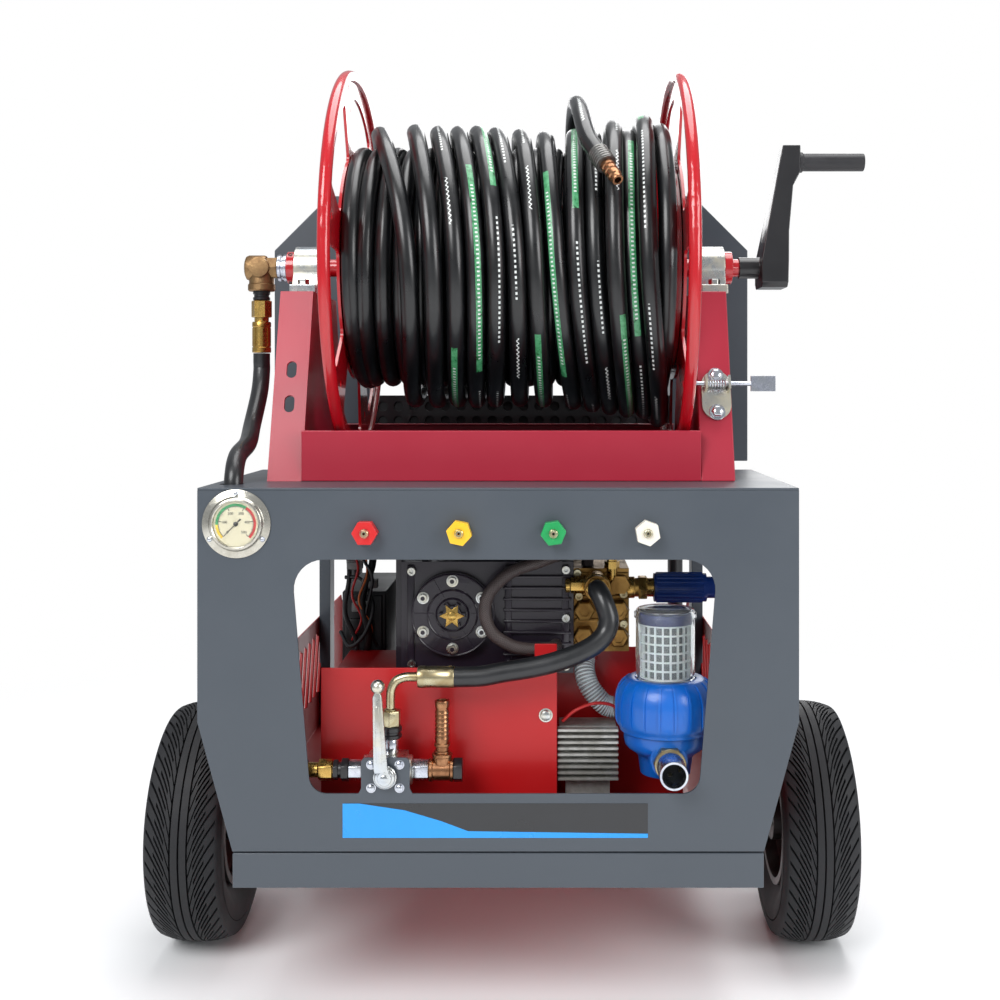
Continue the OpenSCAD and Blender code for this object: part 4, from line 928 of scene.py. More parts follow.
# ---- the jetting hose
@dataclass
class JettingHose:
    """The long hose: a lower layer on the barrel, the outer turns, and the tail over the top."""

    d: float = 24.0
    length: float = 33.8
    barrel_r: float = 143.8
    lower_r: float = 156.2
    lower_start: tuple = ((-84, 214, 184), (0, 213, 190), (90, 212, 190), (180, 211, 178), (270, 205, 159))
    lower_x: tuple = (192.0, -196.0)
    lower_turns: int = 16
    tops: tuple = (-178, -127.5, -95, -67, -40, -14, 20.5, 55, 97, 123, 151, 171, 192)
    fronts: tuple = (-120, -88, -59, -33, -7, 18.5, 43, 70, 96, 120.5, 145, 166, 187)
    radii: tuple = (184, 188, 186, 186, 187, 185, 183, 180, 182, 180, 196, 182, 203)
    bottoms: tuple = ((-127.5, 186), (-95, 187), (-67, 186), (-40, 187), (-14, 186), (20.5, 185), (55, 186),
                      (97, 189), (123, 193), (148, 197), (172, 200), (196, 202), (217, 214))
    crossing: tuple = ((225, 205, 226), (260, 165, 226), (285, 128, 214))
    tail: tuple = ((97, 446, 1066), (98, 415, 1107), (98, 360, 1148), (99, 290, 1170), (101, 222, 1164),
                   (104, 172, 1141), (107.5, 142, 1116), (113.8, 116, 1090), (123.2, 100, 1073.3))
    tip: tuple = (146.8, 60, 1031.2)

    def stops(self) -> list[tuple[float, float, float]]:
        """List the hose's places as angle from the top forwards, across, and distance from the axis."""
        stops = list(self.lower_start)
        x0, x1 = self.lower_x
        for k in range(self.lower_turns * 4 + 1):
            stops.append((360 + 90 * k, x0 + (x1 - x0) * k / (self.lower_turns * 4), self.lower_r))
        base = 360 * (self.lower_turns + 1)
        stops.append((base + 180, x1 + 2, self.lower_r + 3))
        base += 360
        for k, (top, front, r) in enumerate(zip(self.tops, self.fronts, self.radii)):
            low_x, low_r = self.bottoms[k]
            stops += [(base, top, r), (base + 90, front, r), (base + 180, low_x, low_r)]
            if k + 1 < len(self.tops):
                stops.append((base + 270, self.tops[k + 1], self.radii[k + 1]))
                base += 360
        stops += [(base + a, x, r) for a, x, r in self.crossing]
        for x, y, z in self.tail:
            angle = math.degrees(math.atan2(REEL_Y - y, z - REEL_Z))
            turn = base + angle + 360
            stops.append((turn, x, math.hypot(y - REEL_Y, z - REEL_Z)))
        return stops

    def path(self, step: float = 4.0) -> list[Vector]:
        """Follow the hose from the drum's elbow to its end fitting.

        Args:
            step: The angle between points, in degrees.

        Returns:
            The points of its middle line, in the machine's millimetres.
        """
        stops = self.stops()
        slopes = []
        for i in range(len(stops)):
            a, b = stops[max(i - 1, 0)], stops[min(i + 1, len(stops) - 1)]
            slopes.append([(b[j] - a[j]) / (b[0] - a[0]) for j in (1, 2)])
        run = []
        for (a, b), (sa, sb) in zip(zip(stops, stops[1:]), zip(slopes, slopes[1:])):
            width = b[0] - a[0]
            count = max(1, round(width / step))
            for k in range(count):
                t = k / count
                h = (2 * t**3 - 3 * t**2 + 1, t**3 - 2 * t**2 + t, -2 * t**3 + 3 * t**2, t**3 - t**2)
                x, r = (h[0] * a[j] + h[1] * width * sa[j - 1] + h[2] * b[j] + h[3] * width * sb[j - 1]
                        for j in (1, 2))
                angle = math.radians(a[0] + width * t)
                run.append(Vector((x, REEL_Y - r * math.sin(angle), REEL_Z + r * math.cos(angle))))
        run.append(Vector(self.tail[-1]))
        return run

    def build(self) -> None:
        """Make the hose, its barrel, the elbow it starts from and its end fitting."""
        points = self.path()
        form = Form()
        form.tube(points, self.d, 16, gauge=True, seam=Vector((0, REEL_Y, REEL_Z)))
        hose = form.piece("jetting_hose", "hose_cover", "reel", "hose_rubber", ("hose_winding", "hose_tail"),
                          60, outward=False)
        fitting = self._fitting()
        elbow = self._elbow(points)
        self._barrel()
        at(*points[0])
        [at(*p) for p in points]
        log.info("jetting hose: %d points, elbow %s", len(points), elbow.name)

    def _fitting(self) -> list[bpy.types.Object]:
        """Make the grey crimp sleeve and the ringed copper fitting at the hose's end."""
        start, tip = Vector(self.tail[-1]), Vector(self.tip)
        way = (tip - start).normalized()
        turn = way.to_track_quat("Z", "Y").to_matrix().to_4x4()
        pieces = []
        rings = [pair for k in range(6) for pair in ((13.9, 1.4 + k * 4.4), (13.9, 3.6 + k * 4.4), (12.9, 4.2 + k * 4.4),
                                                     (12.9, 5.0 + k * 4.4))]
        sleeve = [(0, 0.7), (13.2, 0.7), *rings, (13.0, 28.2), (9.2, 28.6), (0, 28.6), (0, 0.7)]
        body = [(0, 28.8), (9.2, 28.8), (9.4, 30.4), (9.4, 35), (7.6, 36), (7.6, 38.2), (9.2, 39), (9.2, 43.6),
                (7.6, 44.6), (7.6, 47.4), (9.0, 48.2), (9.0, 54), (7.5, 55.6), (7.5, 61.8), (7.1, 62.6), (4.6, 62.6),
                (4.4, 60), (4.4, 46), (0, 46), (0, 28.8)]
        for name, profile, finish, slot in (("hose_end_sleeve", sleeve, "crimp_steel", "zinc"),
                                            ("hose_end_fitting", body, "copper", "brass")):
            form = Form()
            verts = form.turned(profile, (0, 0, 0), Axis.Z, 40)
            bmesh.ops.transform(form.bm, matrix=Matrix.Translation(start) @ turn, verts=verts)
            stands = ("hose_fitting",) if name == "hose_end_fitting" else ()
            pieces.append(form.piece(name, finish, "reel", slot, stands, 30))
        return pieces

    def _elbow(self, points: list[Vector]) -> bpy.types.Object:
        """Make the brass elbow that leads from the barrel to the start of the hose.

        Args:
            points: The hose's middle line.

        Returns:
            The elbow.
        """
        start = points[0]
        back = (points[0] - points[1]).normalized()
        out = Vector((0, start.y - REEL_Y, start.z - REEL_Z)).normalized()
        side = Vector((13, 0, 0))
        foot = Vector((start.x, REEL_Y, REEL_Z)) + out * (self.barrel_r - 4) + side + back * 16
        knee = start + side + back * 16 - out * 2
        form = Form()
        form.tube([foot, foot.lerp(knee, 0.5), knee, start + back * 18, start + back * 6, start - back * 30],
                  [15, 15, 16, 17, 26.5, 26.5], 20)
        return form.piece("hose_start_elbow", "brass", "reel", "brass", (), 40)

    def _barrel(self) -> None:
        """Make the barrel that the lower layer lies on."""
        form = Form()
        r = self.barrel_r
        form.turned([(r - 3, -209), (r, -209), (r, 235), (r - 3, 235), (r - 3, -209)], (0, REEL_Y, REEL_Z),
                    Axis.X, 72)
        for x in (-209, 232):
            form.turned([(38, x), (r - 2, x), (r - 2, x + 3), (38, x + 3), (38, x)], (0, REEL_Y, REEL_Z),
                        Axis.X, 72)
        form.piece("drum_barrel", "reel_red", "reel", "reel_red", ("hose_core",))


# ---- parts kept from the frame
SKINS = [
    Skin("chassis_frame", "chassis_grey", "chassis_paint", edge=1.5),
    Skin("front_crossbar", "slate", "slate_paint", edge=1.5),
    Skin("tray", "tray_red", "tray_red", edge=0.8),
    Skin("front_panel", "slate", "slate_paint", edge=1.2, steps=3),
    Skin("deck_plate", "slate", "slate_paint", edge=1.0),
    Skin("rear_portal", "portal_grey", "portal_paint", edge=2.0, steps=3),
    Skin("grille_guard", "black_satin", "black_metal", edge=0.5),
    Skin("push_handle", "black_satin", "black_metal", edge=0.0),
    Skin("axle", "zinc", "zinc", edge=0.8),
    Skin("rim_left", "rim_steel", "rim_steel", "wheel_left", 0.8),
    Skin("rim_right", "rim_steel", "rim_steel", "wheel_right", 0.8),
    Skin("caster_fork_left", "zinc", "zinc", "caster_left", 0.8),
    Skin("caster_fork_right", "zinc", "zinc", "caster_right", 0.8),
    Skin("caster_wheel_left", "caster_rubber", "caster_rubber", "caster_left_wheel", 2.0),
    Skin("caster_wheel_right", "caster_rubber", "caster_rubber", "caster_right_wheel", 2.0),
    Skin("reel_frame_left", "frame_red", "frame_red", edge=1.6, steps=3),
    Skin("reel_frame_right", "frame_red", "frame_red", edge=1.6, steps=3),
    Skin("reel_frame_bar", "frame_red", "frame_red", edge=1.6, steps=3),
    Skin("pillow_blocks", "zinc", "zinc", edge=1.2),
    Skin("reel_drum", "reel_red", "reel_red", "reel", 0.8),
    Skin("reel_flange_left", "reel_red", "reel_red", "reel", 0.8),
    Skin("reel_flange_right", "reel_red", "reel_red", "reel", 0.8),
    Skin("crank_arm", "black_satin", "black_metal", "reel", 1.5, 3),
    Skin("crank_grip", "black_plastic", "black_plastic", "crank_handle", 1.5, 3),
    Skin("lock_bracket", "zinc", "zinc", edge=0.5),
    Skin("lock_pin", "zinc_bright", "zinc", "lock", 0.5),
    Skin("lock_spring", "zinc_bright", "zinc", edge=0.0),
    Skin("nozzle_red", "red_plastic", "nozzle_red", "nozzle_a", 0.8),
    Skin("nozzle_yellow", "yellow_plastic", "nozzle_yellow", "nozzle_b", 0.8),
    Skin("nozzle_green", "green_plastic", "nozzle_green", "nozzle_c", 0.8),
    Skin("nozzle_white", "white_plastic", "nozzle_white", "nozzle_d", 0.8),
    Skin("pump_crankcase", "pump_purple", "pump_paint", edge=1.5),
    Skin("pump_cover", "pump_purple", "pump_paint", edge=1.0),
    Skin("pump_head", "brass_cast", "brass", edge=1.5),
    Skin("unloader_knob", "knob_blue", "knob_blue", "pressure_knob", 0.8),
    Skin("battery_box", "tray_red", "tray_red", edge=1.2, steps=3),
    Skin("battery", "black_plastic", "black_plastic", edge=1.5),
    Skin("regulator", "fin_alu", "fin_metal", edge=0.5),
    Skin("engine_block", "engine_cast", "engine_metal", edge=1.0),
    Skin("engine_blower", "black_plastic", "black_plastic", edge=2.0),
    Skin("fuel_tank", "black_plastic", "black_plastic", edge=8.0, steps=4),
    Skin("fuel_cap", "black_plastic", "black_plastic", "tank_cap", 1.0),
]


# ---- wheels
@dataclass
class RoadTyre:
    """A pneumatic tyre with two centre ribs and swept tread grooves on either side."""

    side: int
    body: str
    y: float = 285.0
    z: float = 162.0
    inner: float = 370.0
    width: float = 100.0
    r: float = 162.0
    pitches: int = 48
    groove: float = 5.0

    def build(self) -> None:
        """Make the tyre in place of its plain solid."""
        form = Form()
        half = self.width / 2
        bands = [-45, -40, -33, -26, -19, -12.2, -10, -3.2, -1.2, 1.2, 3.2, 10, 12.2, 19, 26, 33, 40, 45]
        steps = self.pitches * 4
        crown = [(self._crown(x), x) for x in bands]
        wall_out = [(self.r - 9.5, half - 2.6), (self.r - 15, half - 0.6), (self.r - 26, half), (self.r - 44, half - 1.5),
                    (self.r - 58, half - 7), (self.r - 68, half - 13), (self.r - 74.6, half - 15)]
        wall_in = [(r, -x) for r, x in reversed(wall_out)]
        bead = [(90.4, half - 20), (90.4, 20 - half)]
        ring = [*crown, *wall_out, *bead, *wall_in]
        form.turned([*ring, ring[0]], (0, 0, 0), Axis.X, steps)
        self._sweep(form)
        self._carve(form, bands, steps)
        form.shift(form.bm.verts[:], (self.side * (self.inner + half), self.y, self.z))
        name = "tyre_left" if self.side < 0 else "tyre_right"
        form.piece(name + "_tread", "tyre_rubber", self.body, "tyre_rubber", (name,), 40)

    def _crown(self, x: float) -> float:
        """Give the tread's radius at a place across the tyre."""
        return self.r - 0.15 - 7.5 * abs(x / 45) ** 2.6

    def _slant(self, x: float) -> float:
        """Give the angle by which the tread pattern lags at a place across the tyre, in radians."""
        share = max(0.0, abs(x) - 11) / 34
        return -0.50 * share**0.62

    def _sweep(self, form: Form) -> None:
        """Twist the tread about the axle so that its cross lines sweep back towards the shoulders."""
        for vert in form.bm.verts:
            r = math.hypot(vert.co.y, vert.co.z)
            if r > self.r - 20:
                lag = self._slant(vert.co.x)
                vert.co = Matrix.Rotation(lag, 3, "X") @ vert.co

    def _carve(self, form: Form, bands: list[float], steps: int) -> None:
        """Sink the grooves between the tread blocks.

        Args:
            form: The tyre's mesh, at the axle's place.
            bands: Not used.
            steps: The steps round the tyre.
        """
        bmesh.ops.recalc_face_normals(form.bm, faces=form.bm.faces[:])
        sunk = []
        pitch = math.tau / steps
        for face in form.bm.faces:
            middle = face.calc_center_median()
            x, r = middle.x, math.hypot(middle.y, middle.z)
            if r < self.r - 12 or abs(x) > 45:
                continue
            angle = math.atan2(middle.z, middle.y) - self._slant(x)
            cell = int(round(angle / pitch - 0.5)) % steps
            across = abs(x)
            main = 10 < across < 12.2 or across < 1.2
            swept = across > 12.2 and (cell + (2 if x > 0 else 0)) % 4 == 0
            short = 19 < across < 33 and (cell + (2 if x > 0 else 0)) % 4 == 2
            if main or swept or short:
                sunk.append(face)
        bmesh.ops.inset_region(form.bm, faces=sunk, thickness=0.9, depth=-self.groove, use_boundary=True,
                               use_even_offset=True)


@dataclass
class Wheels:
    """The two road wheels with their tyres."""

    def build(self) -> None:
        """Make both tyres."""
        for side, body in ((-1, "wheel_left"), (1, "wheel_right")):
            RoadTyre(side, body).build()
            log.info("tyre on %s", body)


# ---- front panel
def arc_strip(form: Form, middle: tuple, r0: float, r1: float, start: float, end: float, y: float,
              thick: float, steps: int = 24) -> None:
    """Add a flat ring sector that faces the front.

    Args:
        form: The mesh it joins.
        middle: Its centre, across and up.
        r0: Its inner radius.
        r1: Its outer radius.
        start: Its first angle in degrees, from the right upwards.
        end: Its last angle.
        y: Its front face.
        thick: Its thickness.
        steps: Steps of the curve.
    """
    turns = [math.radians(start + (end - start) * k / steps) for k in range(steps + 1)]
    outline = [(middle[0] + r1 * math.cos(a), middle[1] + r1 * math.sin(a)) for a in turns]
    outline += [(middle[0] + r0 * math.cos(a), middle[1] + r0 * math.sin(a)) for a in reversed(turns)]
    form.prism(outline, (0, y, 0), Axis.Y, thick)


@dataclass
class Gauge:
    """The pressure gauge: flanged bezel, cream dial with coloured arcs, needle and glass."""

    x: float = -313.0
    z: float = 610.0
    flange_d: float = 82.0
    face_y: float = -3.0
    zero: float = 225.0
    sweep: float = 270.0

    def build(self) -> None:
        """Make the gauge's pieces."""
        self._bezel()
        self._dial()
        self._needle()
        self._glass()

    def _bezel(self) -> None:
        """Make the pressed flange with its rolled ring and three screws."""
        form = Form()
        r = self.flange_d / 2
        form.turned([(0, 50), (6.5, 50), (6.5, 34), (29, 34), (29, 0.4), (r - 0.8, -0.2), (r, -0.8), (r, -1.6),
                     (r - 1.2, -2.2), (33.5, -2.6), (32.6, -3.4), (31.6, -6.6), (30.4, -7.8), (28.6, -8),
                     (27.4, -7.2), (27, -5.6), (27, -3), (0, -3)], (self.x, 0, self.z), Axis.Y, 96)
        form.piece("gauge_bezel", "champagne", "chassis", "gauge_metal", ("gauge_case",), 40)
        screws = Form()
        for angle in (90, 210, 330):
            a = math.radians(angle)
            spot = (self.x + 36.6 * math.cos(a), 0, self.z + 36.6 * math.sin(a))
            screws.turned([(0, -5.0), (1.6, -4.9), (2.9, -4.0), (3.3, -2.9), (3.3, -1.2), (0, -1.2)], spot, Axis.Y, 24)
        screws.piece("gauge_screws", "zinc_bright", "chassis", "zinc", (), 40)

    def _at(self, share: float, r: float) -> tuple[float, float]:
        """Give the place of a share of the scale at a radius, across and up."""
        a = math.radians(self.zero - self.sweep * share)
        return self.x + r * math.cos(a), self.z + r * math.sin(a)

    def _dial(self) -> None:
        """Make the cream dial with its coloured arcs, marks and numbers."""
        dial = Form()
        dial.turned([(0, self.face_y - 0.5), (26.8, self.face_y - 0.5), (26.8, self.face_y + 0.2), (0, self.face_y + 0.2)],
                    (self.x, 0, self.z), Axis.Y, 72)
        dial.piece("gauge_dial", "dial_cream", "chassis", "gauge_metal")
        front = self.face_y - 0.75
        for name, finish, low, high in (("gauge_arc_yellow", "dial_yellow", 0.0, 0.16),
                                        ("gauge_arc_green", "dial_green", 0.16, 0.62),
                                        ("gauge_arc_red", "dial_red", 0.62, 1.0)):
            form = Form()
            arc_strip(form, (self.x, self.z), 21.4, 24.4, self.zero - self.sweep * low, self.zero - self.sweep * high,
                      front, 0.3)
            form.piece(name, finish, "chassis", "gauge_metal")
        marks = Form()
        for k in range(51):
            long = k % 10 == 0
            inner = 17.6 if long else 19.2 if k % 5 == 0 else 20.0
            a, b = self._at(k / 50, inner), self._at(k / 50, 21.2)
            wide = 0.42 if long else 0.22
            along = Vector((b[0] - a[0], b[1] - a[1])).normalized()
            side = Vector((-along.y, along.x)) * wide
            outline = [(a[0] - side.x, a[1] - side.y), (b[0] - side.x, b[1] - side.y),
                       (b[0] + side.x, b[1] + side.y), (a[0] + side.x, a[1] + side.y)]
            marks.prism(outline, (0, front, 0), Axis.Y, 0.3)
        arc_strip(marks, (self.x, self.z), 20.9, 21.25, self.zero, self.zero - self.sweep, front, 0.3, 48)
        marks.piece("gauge_marks", "ink_black", "chassis", "gauge_metal", (), 20)
        for k in range(6):
            self._number(str(k * 100), self._at(k / 5, 13.9), f"gauge_number_{k}", front)

    def _number(self, text: str, spot: tuple[float, float], name: str, front: float) -> None:
        """Write one number of the scale.

        Args:
            text: The number.
            spot: Its middle, across and up.
            name: The piece's name.
            front: Its front face.
        """
        curve = bpy.data.curves.new(name, "FONT")
        curve.body = text
        curve.size = 0.0046
        curve.extrude = 0.00015
        curve.align_x = "CENTER"
        curve.align_y = "CENTER"
        shaped = bpy.data.objects.new(name + "_shape", curve)
        bpy.context.scene.collection.objects.link(shaped)
        mesh = bpy.data.meshes.new_from_object(shaped)
        bpy.data.objects.remove(shaped)
        place = Matrix.Translation(at(spot[0], front + 0.1, spot[1])) @ Matrix.Rotation(math.radians(90), 4, "X")
        mesh.transform(place)
        made = bpy.data.objects.new(name, mesh)
        bpy.context.scene.collection.objects.link(made)
        mesh.materials.clear()
        mesh.materials.append(FINISHES.get("ink_black"))
        settle(made, "chassis", "gauge_metal")

    def _needle(self) -> None:
        """Make the needle, which points to the lower left at rest."""
        form = Form()
        verts = form.prism([(-8.5, -1.1), (-8.5, 1.1), (-2, 0.55), (20.5, 0.22), (20.5, -0.22), (-2, -0.55)],
                           (0, -5.0, 0), Axis.Y, 0.5)
        form.spin(verts, (0, 0, 0), Axis.Y, 135)
        form.turned([(0, -6.2), (1.6, -6.1), (2.6, -5.4), (2.8, -4.6), (2.8, -3.5), (0, -3.5)], (0, 0, 0), Axis.Y, 32)
        form.shift(form.bm.verts[:], (self.x, 0, self.z))
        form.piece("gauge_pointer", "ink_black", "needle", "black_metal", ("gauge_needle",))

    def _glass(self) -> None:
        """Make the thin glass in front of the dial."""
        form = Form()
        form.turned([(0, -7.1), (26.9, -7.1), (26.9, -6.5), (0, -6.5)], (self.x, 0, self.z), Axis.Y, 64)
        form.piece("gauge_glass", "glass", "chassis", "clear_plastic")


@dataclass
class PanelTrim:
    """The coloured band under the window, left without words."""

    x0: float = -186.0
    x1: float = 179.0
    z0: float = 234.5
    z1: float = 275.5

    def build(self) -> None:
        """Make the band in its two colours."""
        thick, y = 0.25, -0.35
        base = Form()
        base.prism([(self.x0, self.z0), (self.x1, self.z0), (self.x1, self.z1), (self.x0, self.z1)], (0, y, 0),
                   Axis.Y, 0.3)
        base.piece("band_ground", "decal_black", "chassis", "slate_paint")
        blue = Form()
        blue.prism([(self.x0, self.z0), (self.x1, self.z0), (self.x1, self.z0 + 5), (self.x0 + 150, self.z0 + 8),
                    (self.x0 + 118, self.z0 + 20), (self.x0 + 74, self.z0 + 33), (self.x0 + 20, self.z1),
                    (self.x0, self.z1)], (0, y - thick, 0), Axis.Y, 0.3)
        blue.piece("band_wave", "decal_blue", "chassis", "slate_paint")


@dataclass
class TipFaces:
    """The small brass nozzle in the middle of each spray tip."""

    places: tuple = ((-158.0, "nozzle_a"), (-46.0, "nozzle_b"), (66.0, "nozzle_c"), (178.0, "nozzle_d"))
    z: float = 600.0

    def build(self) -> None:
        """Make a brass nozzle with a dark bore in each tip's face."""
        for x, body in self.places:
            form = Form()
            form.turned([(1.6, -20.4), (3.4, -20.4), (3.8, -20), (5.0, -19.2), (5.6, -16.4), (1.6, -16.4), (1.6, -20.4)],
                        (x, 0, self.z), Axis.Y, 28)
            form.piece("tip_face_" + body[-1], "bronze_zinc", body, "brass", (), 35)


# ---- ball valve and its fittings
@dataclass
class ValveGroup:
    """The ball valve behind the panel's tab, its lever and the fittings on both sides."""

    x: float = -135.0
    y: float = 26.0
    z: float = 308.0

    def build(self) -> None:
        """Make the valve, the lever and the fittings."""
        self._body()
        self._lever()
        self._left_side()
        self._right_side()
        self._barb()
        self._elbow()

    def _nut(self, form: Form, start: float, length: float, d: float) -> None:
        """Add a hexagonal nut on the valve's line with chamfered ends.

        Args:
            form: The mesh it joins.
            start: Its first face, across from the valve's middle.
            length: Its length.
            d: Its width over the corners.
        """
        verts = form.rod((self.x + start, self.y, self.z), Axis.X, d, length, 6)
        form.round_edges(0.9, 2, 40, verts)

    def _body(self) -> None:
        """Make the cast body and its four bolts."""
        form = Form()
        form.box((self.x - 24, 3.3, self.z - 20), (self.x + 24, 44, self.z + 20))
        form.round_edges(2.0, 3)
        form.turned([(8, -30), (16.5, -30), (18, -28.5), (18, -22), (18, 22), (18, 28.5), (16.5, 30), (8, 30), (8, -30)],
                    (self.x, self.y, self.z), Axis.X, 48)
        form.rod((self.x, -4, self.z), Axis.Y, 12.5, 10, 32)
        form.piece("valve_casting", "zinc", "chassis", "zinc", ("valve_body",))
        bolts = Form()
        for x in (-17, 17):
            for z in (-14, 14):
                spot = (self.x + x, 0, self.z + z)
                bolts.turned([(0, -4.4), (2.4, -4.2), (4.0, -3.2), (4.5, -1.6), (4.5, 0), (0, 0)], spot, Axis.Y, 24)
                bolts.turned([(4.6, -0.7), (5.8, -0.5), (5.8, 0), (4.6, 0), (4.6, -0.7)], spot, Axis.Y, 24)
        bolts.piece("valve_bolts", "zinc_bright", "chassis", "zinc", (), 40)

    def _lever(self) -> None:
        """Make the round spindle with its nut and the flat lever with a ball at its top."""
        form = Form()
        form.turned([(0, -13.6), (3.4, -13.4), (4.6, -12.6), (4.6, -11.4), (8.2, -11.2), (8.6, -10.6), (8.8, -9.4),
                     (11.4, -9.0), (12.2, -8.2), (12.6, -6.6), (13.6, -6.2), (14.4, -5.2), (14.4, -4.4), (0, -4.4)],
                    (self.x, 0, self.z), Axis.Y, 56)
        verts = form.prism([(-12, 6), (6, 6), (4, 12), (1.6, 40), (-3, 97), (-5.4, 103), (-11.6, 103), (-14, 97),
                            (-13.4, 40), (-13, 12)], (self.x, -11.2, self.z), Axis.Y, 5.0)
        form.round_edges(1.2, 3, 40, verts)
        ridge = form.prism([(-9.4, 18), (-2.2, 18), (-6.4, 86), (-10.6, 86)], (self.x, -11.9, self.z), Axis.Y, 1.2)
        form.round_edges(0.7, 2, 40, ridge)
        ball = bmesh.ops.create_uvsphere(form.bm, u_segments=32, v_segments=20, radius=8.5)["verts"]
        form.shift(ball, (self.x - 8, -9.0, self.z + 109))
        form.piece("valve_lever_ball", "zinc", "lever", "zinc", ("valve_lever",), 45)

    def _left_side(self) -> None:
        """Make the pale hexagon, the black nuts and the brass nut at the feed hose."""
        pale = Form()
        self._nut(pale, -47, 17, 26)
        pale.piece("left_adapter", "zinc_bright", "chassis", "zinc", ("port_fittings",))
        black = Form()
        self._nut(black, -56, 8.6, 29)
        black.rod((self.x - 62, self.y, self.z), Axis.X, 19, 7, 40)
        self._nut(black, -66, 6, 25)
        black.piece("left_black_nuts", "black_satin", "chassis", "black_metal")
        brass = Form()
        self._nut(brass, -83.6, 16.6, 27)
        brass.rod((self.x - 67.5, self.y, self.z), Axis.X, 15, 3, 32)
        brass.turned([(9, -97), (9, -85), (7.4, -83.4), (7.4, -97), (9, -97)], (self.x, self.y, self.z), Axis.X, 40)
        brass.piece("left_brass_nut", "brass", "chassis", "brass")

    def _right_side(self) -> None:
        """Make the pale hexagon, the copper tee and the black plug."""
        pale = Form()
        self._nut(pale, 30.2, 19.4, 27)
        pale.piece("right_adapter", "zinc_bright", "chassis", "zinc")
        tee = Form()
        tee.turned([(8, 49.8), (13, 49.8), (14, 51), (14, 54), (12.6, 55.5), (12.6, 75), (14, 76.4), (14, 79.4),
                    (13, 80), (8, 80), (8, 49.8)], (self.x, self.y, self.z), Axis.X, 48)
        tee.turned([(6, 8), (11.4, 8), (11.4, 16), (12.4, 17), (12.4, 20), (11, 21), (6, 21), (6, 8)],
                   (self.x + 66, self.y, self.z), Axis.Z, 40)
        tee.piece("copper_tee", "copper", "chassis", "brass", (), 30)
        plug = Form()
        self._nut(plug, 80.2, 10.6, 30)
        plug.piece("black_plug", "black_satin", "chassis", "black_metal")

    def _barb(self) -> None:
        """Make the upright hose barb with its rings."""
        profile = [(6.2, 21), (9.4, 21), (9.6, 23.4), (8.2, 24.2), (8.2, 28.6), (9.6, 29.6), (9.6, 32.6), (8.4, 33.6)]
        for k in range(7):
            z = 38 + k * 5.2
            profile += [(9.0, z), (9.2, z + 0.8), (8.0, z + 4.4), (8.0, z + 5.0)]
        profile += [(8.2, 75.4), (9.0, 77.4), (9.0, 83.4), (8.6, 84.6), (6.4, 84.6), (6.2, 83), (6.2, 21)]
        form = Form()
        form.turned(profile, (self.x + 66, self.y, self.z), Axis.Z, 40)
        form.piece("copper_barb", "copper", "chassis", "brass", (), 30)

    def _elbow(self) -> None:
        """Make the zinc tube that bends into the crimp sleeve, with its nuts."""
        x, y, top, end = self.x + 3, self.y, 421.0, -54.0
        tube = Form()
        run = smooth_run([[x, y, self.z + 72], [x, y, top - 24], [x + 1.4, y, top - 14], [x + 7, y, top - 5],
                          [x + 17, y, top - 0.6], [x + 28, y, top], [end - 43, y, top]], 6)
        tube.tube(run, 11.2, 20)
        tube.turned([(5.4, 70), (7.6, 70), (8.2, 71), (8.2, 74), (5.4, 75.5), (5.4, 70)], (x, y, self.z), Axis.Z, 32)
        tube.piece("delivery_elbow", "bronze_zinc", "chassis", "brass", (), 40)
        sleeve = Form()
        sleeve.turned([(6, -45), (11.6, -45), (12.8, -44.2), (13.4, -42), (13.4, -36), (13.0, -35), (13.0, -9),
                       (13.4, -8), (13.4, -1.6), (12.8, -0.4), (12.2, -0.4), (12.2, -12), (6, -12), (6, -45)],
                      (end, y, top), Axis.X, 48)
        sleeve.piece("delivery_sleeve", "bronze_zinc", "chassis", "brass", (), 35)
        nut = Form()
        verts = nut.rod((x, y, self.z + 54), Axis.Z, 26, 18.6, 6)
        nut.round_edges(0.9, 2, 40, verts)
        nut.piece("delivery_nut", "bronze_zinc", "chassis", "brass")
        black = Form()
        black.turned([(6, 39), (12.6, 39), (14, 40.4), (14, 43.4), (12.4, 44.6), (12.4, 47), (14, 48), (14, 52.4),
                      (12.8, 53.8), (6, 53.8), (6, 39)], (x, y, self.z), Axis.Z, 40)
        black.piece("delivery_black_ring", "black_satin", "chassis", "black_metal", (), 30)
        pale = Form()
        pale.turned([(5, 20.3), (9.6, 20.3), (10, 21), (10, 38), (9.4, 38.9), (5, 38.9), (5, 20.3)], (x, y, self.z),
                    Axis.Z, 40)
        pale.piece("delivery_adapter", "zinc_bright", "chassis", "zinc", (), 35)


